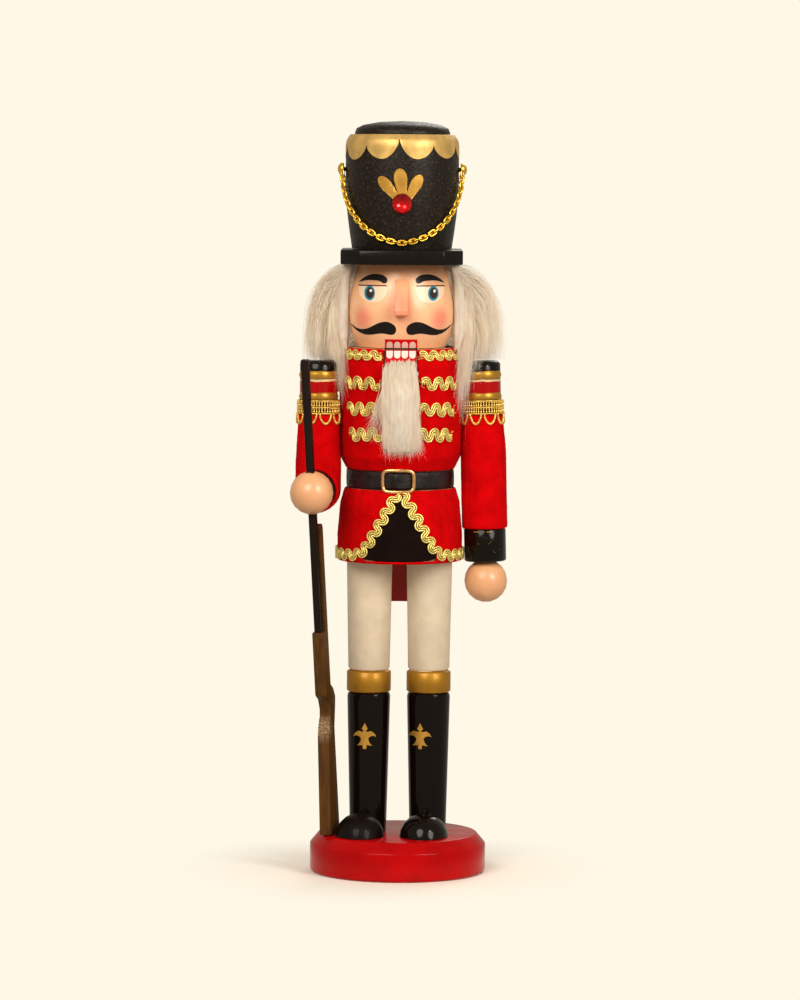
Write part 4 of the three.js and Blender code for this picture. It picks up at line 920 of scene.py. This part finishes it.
def dress_chain():
    """Oval links of round wire, flat and on edge by turns, each through the next."""
    links, wire, wide = 41, 0.55, 1.2
    at, length = walker(chain_curve())
    pitch = length / links
    form = Form()
    for i in range(links):
        start, end = at(i * pitch), at((i + 1) * pitch)
        centre, way = (start + end) / 2, unit(end - start)
        radial = unit(centre * (1, 1, 0))
        across = unit(np.cross(way, radial))
        lean = math.radians(14 if i % 2 == 0 else -72)
        flat = across * math.cos(lean) + radial * math.sin(lean)
        u, v = ellipse(0, 0, pitch / 2 + wire * 1.3, wide, 24, 0.75).T[:, :, None]
        tube(form, centre + way * u + flat * v, wire, 8, closed=True)
    form.piece("gold_chain", BRASS, "chain", stands_for=["hat_chain"], slot="brass")


def felted(node, name, look, voxel=0.55, lumps=0.16, body="root", fuller=0.0):
    """Felt or fur in place of a CAD solid: its edges rounded, its faces a little uneven."""
    mesh = NODES[node].data.copy()
    mesh.name = name
    made = new_object(name, mesh)
    made.modifiers.new("weld", "WELD").merge_threshold = WELD
    remesh = made.modifiers.new("remesh", "REMESH")
    remesh.mode, remesh.voxel_size = "VOXEL", voxel * MM
    relax = made.modifiers.new("relax", "SMOOTH")
    relax.factor, relax.iterations = 0.5, 8
    clouds = bpy.data.textures.new(name + "_lumps", "CLOUDS")
    clouds.noise_scale = 6 * MM
    puff = made.modifiers.new("puff", "DISPLACE")
    puff.texture, puff.texture_coords = clouds, "LOCAL"
    puff.strength, puff.mid_level = 2 * lumps * MM, 0.5 - fuller / (2 * lumps)
    evaluated = made.evaluated_get(bpy.context.evaluated_depsgraph_get())
    made.data = bpy.data.meshes.new_from_object(evaluated)
    made.modifiers.clear()
    cover(made.data, look)
    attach(made, body)
    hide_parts(node)
    return made


# Single fibres of felt: how many to the mm2, and in mm the longest one and half a blade's width
NAP_DENSITY, NAP_LENGTH, NAP_HALF = 1.1, 0.9, 0.035


def nap(name, mesh, look):
    """Fibres that stand off the felt, each a thin blade."""
    mesh.calc_loop_triangles()
    points = mesh_points(mesh)
    corners = np.zeros(len(mesh.loop_triangles) * 3, int)
    mesh.loop_triangles.foreach_get("vertices", corners)
    a, b, c = (points[corners.reshape(-1, 3)[:, k]] for k in range(3))
    normal = np.cross(b - a, c - a)
    area = np.linalg.norm(normal, axis=1) / 2
    count = int(NAP_DENSITY * area.sum())
    pick = rng.choice(len(area), count, p=area / area.sum())
    u, v = rng.random((2, count, 1))
    flip = u + v > 1
    u, v = np.where(flip, 1 - u, u), np.where(flip, 1 - v, v)
    root = a[pick] + u * (b[pick] - a[pick]) + v * (c[pick] - a[pick])
    out = unit(normal[pick])
    lay = rng.normal(size=(count, 3))
    lay = unit(lay - (lay * out).sum(1, keepdims=True) * out)
    tip = root + lay * NAP_LENGTH * rng.uniform(0.4, 1.0, (count, 1))
    tip += out * rng.uniform(0.05, 0.5, (count, 1))
    side = np.cross(out, lay) * NAP_HALF
    blades = np.stack([root - side, root + side, tip], 1).reshape(-1, 3)
    Form().add(blades, np.arange(3 * count).reshape(-1, 3).tolist()).piece(name, look)


def dress_coat():
    for node, name in (
        ("coat_upper", "felt_chest"),
        ("coat_skirt", "felt_skirt"),
        ("front_panel", "felt_panel"),
        ("sleeve_left", "felt_sleeve_left"),
        ("sleeve_right", "felt_sleeve_right"),
    ):
        black = node == "front_panel"
        look, slot, fuller = (BLACK_CLOTH, "black_felt", 0.1) if black else (RED_CLOTH, "red_felt", 0.3)
        made = felted(node, name, look, fuller=fuller)
        if black:
            round_panel(made.data)
        nap(name + "_nap", made.data, look)


def round_panel(mesh):
    """Lets the panel's lower edge sag in the middle and rounds its corners."""
    points = mesh_points(mesh)
    x, z = points[:, 0] / box_mm("front_panel")[1][0], points[:, 2]
    near = np.clip((HEM_Z + 7 - z) / 6, 0, 1)
    points[:, 2] += 0.9 * (np.abs(x) ** 6 - 1 + x * x) * near
    move_points(mesh, points)


def coat_radius(z):
    chest, skirt = CHEST_RADIUS(np.minimum(z, COLLAR_Z)), SKIRT_RADIUS(np.maximum(z, HEM_Z))
    return np.where(z > CHEST_LOW, chest, skirt)


UNROLL = 31.0  # the radius at which the braids' routes are laid flat


def on_coat(along, z, lift):
    """Points of the coat from their distance round the front, unrolled, and their height."""
    return round_axis(coat_radius(z) + lift, along / UNROLL, z)


def gimp(name, route, height, node, frayed=2):
    """Braid of cords that sway side by side along a route of unrolled (along, z) points."""
    route = smooth_line(route, 10)
    at, length = walker(route)
    waves = max(2, round(length / BRAID_WAVE))
    sway = (height - (BRAID_CORDS - 1) * BRAID_SPACING - 2 * BRAID_CORD) / 2
    phase = np.arange(waves * WAVE_STEPS + 1) / WAVE_STEPS * 2 * math.pi
    form = Form()
    for c in range(BRAID_CORDS):
        offset = (c - (BRAID_CORDS - 1) / 2) * BRAID_SPACING
        u = length / waves * phase / (2 * math.pi) - 0.3 * np.sin(2 * phase)
        v = sway * np.sin(phase)
        du, dv = np.gradient(u), np.gradient(v)
        size = np.hypot(du, dv)
        u, v = u - offset * dv / size, v + offset * du / size
        u = np.clip(u, -0.8, length + 0.8)
        ahead = unit(at(u + 0.4) - at(u - 0.4))
        along, z = (at(u) + v[:, None] * np.stack([-ahead[:, 1], ahead[:, 0]], 1)).T
        tube(form, on_coat(along, z, BRAID_LIFT + 0.12 * np.sin(phase * 3 + c)), BRAID_CORD)
    for end in (route[-1], route[0])[:frayed]:
        for _ in range(5):
            fray(form, end, height)
    form.piece(name, GILT, stands_for=[node], slot="gold_braid")


def fray(form, end, height):
    """A loose thread at a cut end of braid."""
    start = end + (0, rng.uniform(-0.3, 0.3) * height)
    way, reach = unit(rng.normal(size=2)), rng.uniform(1.0, 2.2)
    spots = [start + way * d + rng.normal(size=2) * 0.12 for d in np.linspace(0, reach, 4)]
    tube(form, on_coat(*np.array(spots).T, BRAID_LIFT + 0.2 * np.arange(4)), 0.13, 4)


# Braid, in mm: three cords side by side, and its routes unrolled from the middle of the coat
BRAID_CORDS, BRAID_CORD, BRAID_SPACING, BRAID_LIFT, BRAID_WAVE = 3, 0.46, 1.1, 0.9, 6.5
WAVE_STEPS = 26
BELT_THICK = 0.9
CHEST_ROWS = ((17.6, 10.6, 33.0), (30.5, 9.9, 30.8), (43.3, 9.4, 29.2))
COAT_EDGE = [
    (1.4, 35.6), (5.4, 28.6), (9.3, 21.6), (13.1, 14.6), (17.0, 8.4), (21.2, 4.9), (27, 3.8), (36, 3.7),
    (48, 3.7), (60, 3.7), (72, 3.7), (84, 3.7),
]
STITCHES, FRINGE_LOOPS = 50, 9
TRIM_DROP, TRIM_TALL, TRIM_RADIUS = 20.1, 7.0, 10.5  # below the arm's top, and round it


def dress_braids():
    for side, word in SIDES:
        route = [(side * s, COLLAR_Z - 3.2) for s in np.linspace(10.2, 36, 6)]
        gimp("braid_collar_" + word, route, 5.6, "collar_braid_" + word)
        for row, (drop, start, end) in enumerate(CHEST_ROWS, 1):
            wander = rng.uniform(-0.35, 0.35, 5)
            route = [(side * s, COLLAR_Z - drop + w) for s, w in zip(np.linspace(start, end, 5), wander)]
            gimp(f"braid_chest_{row}_{word}", route, 7.6, f"chest_braid_{row}_{word}")
        route = [(side * s, HEM_Z + z) for s, z in COAT_EDGE]
        gimp("braid_edge_" + word, route, 6.6, "coat_edge_braid_" + word, frayed=1)


def dress_belt():
    """A crumpled strap round the waist, creased in front and open at the back for the lever."""
    half_open = math.asin((JAW_HALF + 0.7) / BELT_RADIUS)
    angle = np.linspace(half_open - math.pi, math.pi - half_open, 420)[:, None]
    down = np.linspace(1, 0, 9)
    past = angle + 0.058 + 0.02 * (1 - down)
    slope = np.where(past < 0, 0.07, 0.013)
    crease = 1.1 * np.exp(-((past / slope) ** 2)) * np.sqrt(np.sin(math.pi * down))
    crumple = 0.05 * np.sin(9 * angle + 3 * down) + 0.04 * np.sin(23 * angle - 5 * down)
    outside = BELT_RADIUS - 0.1 + crumple + crease - 0.25 * (2 * down - 1) ** 6
    r = np.concatenate([outside, np.full(outside.shape, BELT_RADIUS - BELT_THICK)], 1)
    z = BELT_LOW + 0.15 + (BELT_HIGH - BELT_LOW - 0.3) * np.concatenate([down, down[::-1]])
    form = Form()
    add_loops(form, round_axis(r, angle, z))
    form.piece("belt_strap", leather_look(), stands_for=["belt"], slot="leather")


def dress_buckle():
    """A cast ring with round corners, bent to the waist."""
    low, high = box_mm("buckle")
    (x, _, z), (wide, _, tall) = (low + high) / 2, (high - low) / 2 - 0.9
    r = BELT_RADIUS + 1.15
    u, v = ellipse(x, z, wide, tall, 72, 0.42).T
    form = Form()
    tube(form, round_axis(r, u / r, v), 0.98, 12, closed=True)
    form.piece("buckle_ring", COPPER_GILT, stands_for=["buckle"], slot="brass")


def arm_look(side, word):
    """Black upper arm with gilt rings either side of a red band, from the cuff up."""
    sockets = {"Coat_Weight": 0.22, "Coat_Roughness": 0.07, "Specular_IOR_Level": 0.1}
    look = Look("arm_paint_" + word, BLACK, 0.14, **sockets)
    rings = [
        (30.5, GOLD_PAINT, 0.75, 0.3),
        (16.4, RED_LACQUER, 0.0, 0.22),
        (10.6, (0.80, 0.55, 0.28), 0.3, 0.35),
        (9.5, (0.10, 0.04, 0.02), 0.0, 0.35),
        (9.1, GOLD_PAINT, 0.75, 0.3),
        (5.4, BLACK, 0.0, 0.16),
    ]
    zones = [(ARM_TOP - down, *paint_there) for down, *paint_there in rings]
    tilt = math.tan(ARM_LEAN) if side > 0 else 0.0
    return painted_zones(look, zones, (BLACK, 0.0, 0.16), tilt, ARMS[1][0])


def dress_arms():
    for side, word in SIDES:
        finish_node("arm_" + word, arm_look(side, word), angle=50)
        epaulette(side, word)
    cuff_flecks()


def cuff_flecks():
    """Gold dashes on the top edge of the right cuff, and a few gold dots below it."""
    top, radius = low_z("sleeve_right") - 0.9, 10.75
    marks = [(-33, -17, 0), (4, 18, 0), (-4, -2.2, 0.1)]
    marks += [(a, a + rng.uniform(1.2, 2.4), rng.uniform(2, 12)) for a in rng.uniform(-50, 50, 9)]
    form = Form()
    for start, end, drop in marks:
        heights = top - drop - np.array((0, 0.22 if drop > 1 else 0.34))
        turns = np.radians(np.linspace(start, end, 8))[:, None]
        form.add(round_axis(radius, turns, heights).reshape(-1, 3) + (ARMS[1][0], 0, 0), quads(8, 2))
    form.points = lean_right(np.array(form.points)).tolist()
    form.piece("cuff_flecks", GOLD_LEAF)


def lean_right(points):
    """Leans points of the right arm about its shoulder, the hand outwards."""
    x, z = points[:, 0] - ARMS[1][0], points[:, 2] - SHOULDER_Z
    c, n = math.cos(ARM_LEAN), math.sin(ARM_LEAN)
    return np.stack([ARMS[1][0] + x * c - z * n, points[:, 1], SHOULDER_Z + z * c + x * n], 1)


def press(points, clear):
    """Moves points that would sink into the coat out to its surface."""
    r = np.hypot(points[:, 0], points[:, 1])
    grow = np.maximum(1, (coat_radius(points[:, 2]) + clear) / np.maximum(r, TINY))
    return points * np.stack([grow, grow, np.ones(len(grow))], 1)


def epaulette(side, word):
    """Gilt trim: two rows of beaded stitches between cords, with loops of twisted cord below, over a
    felt backing whose dark brown is painted shade in the gaps between the cords.
    """
    top = ARM_TOP - TRIM_DROP
    bottom, middle = top - TRIM_TALL, top - TRIM_TALL / 2
    drop = bottom - low_z("epaulette_trim_" + word) - 0.6
    shade_backing, form, quarter = Form(), Form(), math.pi / 2
    around = lambda r, turn, z: round_axis(r, turn, z) + (*ARMS[side], 0)
    inner, outer = TRIM_RADIUS - 0.6, TRIM_RADIUS - 0.3
    # a dark band under the cords, painted shade for the gaps between them
    lathe(shade_backing, [(inner, bottom), (outer, bottom), (outer, top), (inner, top)], 48, ARMS[side])
    for z in (top - 0.3, middle, bottom + 0.3):
        tube(form, around(TRIM_RADIUS, full_turn(72) + quarter, z), 0.36, closed=True)
    beads = 0.20 + 0.24 * np.abs(np.sin(np.linspace(0, 2 * math.pi, 9)))
    for turn in full_turn(STITCHES):
        leaning = turn + 0.02 * math.sin(5 * turn) + quarter
        for low, high in ((bottom + 0.5, middle - 0.2), (middle + 0.2, top - 0.5)):
            tube(form, around(TRIM_RADIUS + 0.2, leaning, np.linspace(low, high, 9)), beads)
    t = np.linspace(0, 1, 34)
    for k in range(FRINGE_LOOPS):
        for strand in (0, math.pi):
            turn, twist = 2 * math.pi * (k + 0.1 + 0.8 * t) / FRINGE_LOOPS, 14 * math.pi * t + strand
            z = bottom + 0.3 - drop * np.sin(math.pi * t) ** 0.55 + 0.38 * np.sin(twist)
            tube(form, around(TRIM_RADIUS + 0.4 + 0.38 * np.cos(twist), turn, z), 0.4)
    for part in (shade_backing, form):
        points = np.array(part.points)
        part.points = press(lean_right(points) if side > 0 else points, 0.5)
    shade_backing.piece("trim_backing_" + word, TRIM_GAP_SHADE)
    form.piece("trim_" + word, TRIM_GILT, stands_for=["epaulette_trim_" + word], slot="gold_braid")


def with_pale_patch(look):
    """A paler patch on the stock by the grip."""
    plain = look.shader.inputs["Base Color"].links[0].from_socket
    paler = look.math("MULTIPLY", look.spot(PALE_PATCH, 2.5, 6.0), look.span(look.noise(0.8, 4), 0.38, 0.6))
    look.set("Base Color", look.lay(paler, 0.8, plain, (0.36, 0.22, 0.11)))
    return look


def hair_piece(name, path, width, middle, node):
    """Thin tapered ribbons along paths of shape (hairs, steps, 3), lit as one mass round middle."""
    count, steps, _ = path.shape
    way = unit(np.gradient(path, axis=1))
    outward = unit((path - middle) * (1, 1, 0.3))
    in_front = np.clip((12 - path[..., 1:2]) / 14, 0, 1)
    outward = unit(outward + in_front * (0, -1.1, 0.25) + rng.normal(size=(count, 1, 3)) * 0.24)
    side = unit(np.cross(way, outward))
    taper = (1 - np.linspace(0, 1, steps) ** 2.2 * 0.9)[None, :, None]
    thick = width * rng.uniform(0.6, 1.2, (count, 1, 1)) * taper / 2
    edges = np.stack([path - side * thick, path + side * thick], 2).reshape(-1, 3)
    first = ((np.arange(count) * steps * 2)[:, None] + np.arange(steps - 1) * 2).reshape(-1)
    faces = np.stack([first, first + 1, first + 3, first + 2], 1).tolist()
    made = Form().add(edges, faces).piece(name, FUR_LOOK, None, stands_for=[node], slot="fur")
    made.data.normals_split_custom_set_from_vertices(np.repeat(outward.reshape(-1, 3), 2, 0).tolist())
    return made


def curves(p0, p1, p2, p3):
    """A Bezier curve for each row of the four guide points."""
    t = np.linspace(0, 1, HAIR_STEPS)[None, :, None]
    a, b, c, d = (p[:, None, :] for p in (p0, p1, p2, p3))
    return a * (1 - t) ** 3 + 3 * b * t * (1 - t) ** 2 + 3 * c * t**2 * (1 - t) + d * t**3


def strew(guides, spreads):
    """The four guide points of each lock, strewn for each of its hairs."""
    many = [np.repeat(points, HAIRS_PER_LOCK, 0) for points in guides]
    return [points + rng.normal(size=points.shape) * spread for points, spread in zip(many, spreads)]


def polar(angle, r, z):
    return round_axis(r, np.radians(angle), z)


HAIRS_PER_LOCK, HAIR_STEPS, STRAY_HAIRS = 28, 8, 80
COAT_FRONT = 31.0  # the radius that the beard lies on
ARM_CLEAR = 10.9  # the radius round an arm's axis that hair keeps out of
ARM_REACH = 19.0  # the radius within which hair outside an arm rests on it
HAIR_REST = ARM_TOP + 0.5
FACE_EDGE = math.radians(76)  # the angle from the front at which the hair starts
LEVER_REACH = 262.0  # the height that the top of the lever comes up to as the jaw opens


def keep_clear(path):
    """Lays hair on the shoulders and the coat, off the face and clear of the lever's swing."""
    x, y, z = np.moveaxis(path, -1, 0)
    thin = (rng.random(len(path)) < 0.45)[:, None]
    for cx, cy in ARMS.values():
        away, low = np.hypot(x - cx, y - cy), z < HAIR_REST
        inside = (away < ARM_CLEAR) & low
        inner = (x - cx) * np.sign(cx) < -0.5
        ahead = inside & (y < cy - 4) & inner & ~thin
        push = np.where(ahead, ARM_CLEAR / np.maximum(away, TINY), 1.0)
        x, y = cx + (x - cx) * push, cy + (y - cy) * push
        resting = (inside & ~ahead) | (~inner & (away < ARM_REACH) & low & (y < cy + 6))
        z = np.where(resting, HAIR_REST, z)
    parting = JAW_HALF + 1.8 + rng.uniform(0, 3, (len(path), 1))
    aside = rng.random((len(path), 1)) < 0.65
    behind = (y > 8) & (np.abs(x) < parting)
    amount = np.clip((LEVER_REACH + 5 - z) / 5, 0, 1)
    x = np.where(behind & aside, x + (np.copysign(parting, x[:, -1:]) - x) * amount, x)
    z = np.where(behind & ~aside, np.maximum(z, LEVER_REACH), z)
    r, turn = np.hypot(x, y), np.arctan2(x, -y)
    on_face = (np.abs(turn) < FACE_EDGE) & (z > HEAD_LOW - 3) & (y < 0)
    turn = np.where(on_face, np.sign(turn) * FACE_EDGE, turn)
    heights = np.linspace(COLLAR_Z - 40, BRIM_LOW, 161)
    limits = np.where(heights < COLLAR_Z, coat_radius(heights) + 1.3, HEAD_RADIUS(heights) + 0.2)
    least = np.interp(z, heights, limits)
    return round_axis(np.where(z < BRIM_LOW - 1, np.maximum(r, least), r), turn, z)


def dress_hair():
    """Long fur round the sides and back of the head: a padded base under loose locks."""
    shrink_toward_head(felted("hair", "hair_base", FUR_LOOK, 1.1, 0.5))
    locks = 640
    temple = rng.random(locks) < 0.26
    angle = np.where(temple, rng.uniform(73, 86, locks), rng.uniform(80, 180, locks))
    angle = np.where(rng.random(locks) < 0.5, angle, 360 - angle)
    layer = rng.random(locks) ** 0.8
    turn = np.radians(angle)
    sideness = np.abs(np.sin(turn))
    puff = (10.5 + 14.0 * sideness**2.5) * np.where(angle > 180, 0.87, 1)
    root_z = HEAD_LOW + 3 + 36 * layer
    root_r = HEAD_RADIUS(root_z)
    puff = puff * (0.25 + 0.75 * layer) * np.where(temple, rng.uniform(0.15, 0.8, locks), 1)
    out_r = root_r.mean() + 1.0 + puff
    drop = HEAD_LOW - np.where(sideness > 0.9, 9, 15) + rng.normal(size=locks) * 4.2 + 3 * (1 - layer)
    hanging = temple & (rng.random(locks) < 0.5)
    drop = drop - np.where(hanging, rng.uniform(3, 16, locks), 0)
    out_r = np.where(hanging, rng.uniform(31, 37, locks), out_r)
    drift = rng.normal(size=locks) * 5
    forward = rng.uniform(63, 76, locks)
    ends = np.where(hanging, np.where(angle > 180, 360 - forward, forward), angle + drift)
    guides = [
        polar(angle, root_r, root_z),
        polar(angle + 0.2 * drift, root_r + 0.75 * (out_r - root_r), root_z + 5.0 * layer),
        polar(angle + 0.6 * drift, out_r + 1.5, root_z - 0.35 * (root_z - drop)),
        polar(ends, out_r - 1.5, drop),
    ]
    hairs = strew(guides, (3.0, 2.8, 2.3, (2.2, 2.2, 3.6)))
    hairs[1][:, 2] = np.minimum(hairs[1][:, 2], BRIM_LOW - 0.5)
    path = curves(*hairs)
    path[..., 2] = np.minimum(path[..., 2], BRIM_LOW - 0.4)
    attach(hair_piece("hair_locks", keep_clear(path), 0.22, (0, 0, 285), "hair"), "root")


def shrink_toward_head(base):
    """Draws the padded base in under the locks, most of all at its lower edge."""
    points = mesh_points(base.data)
    r = np.hypot(points[:, 0], points[:, 1])
    core, low = 27.5, points[:, 2].min()
    full = np.clip((points[:, 2] - low) / 16, 0, 1)
    scale = np.where(r > core, (core + (r - core) * (0.2 + 0.52 * full)) / np.maximum(r, TINY), 1.0)
    points[:, :2] *= scale[:, None]
    points[:, 2] += 5 * (1 - full)
    move_points(base.data, points)


def dress_beard():
    """White fur glued to the jaw; its tips rest on the coat. Its pieces are then taken off the jaw's
    body.
    """
    base = felted("beard", "beard_base", FUR_LOOK, 0.8, 0.4, "jaw")
    top = JAW_TOP - 5.6
    locks = 240
    across = rng.uniform(-1, 1, locks)
    layer = rng.random(locks)
    root_z = top - 27 * layer
    tip_z = top - 37.5 - 8.5 * rng.random(locks) ** 0.8
    depth = 3.4 + 5.0 * (1 - layer) * (1 - 0.4 * across**2)
    tip_x = across * 7.3 + 0.9 + rng.normal(size=locks) * 1.4
    lay = front_y(COAT_FRONT + 0.2, tip_x) - 0.9 - 1.8 * rng.random(locks)
    guides = [
        np.stack([across * 7.4, np.full(locks, JAW_FRONT - 0.3), root_z], -1),
        np.stack([across * 8.6 - 0.9, JAW_FRONT - 0.3 - depth, root_z - 1.0], -1),
        np.stack([across * 8.0, JAW_FRONT - depth, (root_z + tip_z) / 2 - 4], -1),
        np.stack([tip_x, lay, tip_z], -1),
    ]
    path = curves(*strew(guides, (0.7, 1.0, 1.2, (1.5, 1.5, 2.2))))
    path = np.concatenate([path, stray_wisps()], 0)
    path[..., 1] = np.minimum(path[..., 1], front_y(COAT_FRONT + 0.3, path[..., 0]))
    made = hair_piece("beard_locks", path, 0.2, (0, -20, top - 18), "beard")
    for piece in (base, made):
        piece.parent = None
        if "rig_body" in piece:
            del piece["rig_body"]
        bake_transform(piece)


def stray_wisps():
    """Loose hairs that fall across the coat on the left of the beard."""
    x = rng.uniform(-19, -9, STRAY_HAIRS)
    top_x, top_z = rng.uniform(-9, -6, STRAY_HAIRS), COLLAR_Z - rng.uniform(12, 26, STRAY_HAIRS)
    top = np.stack([top_x, np.full(STRAY_HAIRS, -33.5), top_z], -1)
    tip_z = COLLAR_Z - rng.uniform(34, 48, STRAY_HAIRS)
    tip = np.stack([x, front_y(COAT_FRONT, x) - 2.2, tip_z], -1)
    mid = (top + tip) / 2 + rng.normal(size=top.shape) * 1.2
    return curves(top, mid + (0, -1.5, 2), mid + (0, -1.2, -2), tip)


camera()
studio()
dress_plain()
dress_legs()
dress_coat()
dress_braids()
dress_belt()
dress_buckle()
dress_arms()
dress_head()
dress_mouth()
dress_hat()
dress_chain()
dress_hair()
dress_beard()
bpy.context.scene.view_settings.view_transform = "Standard"
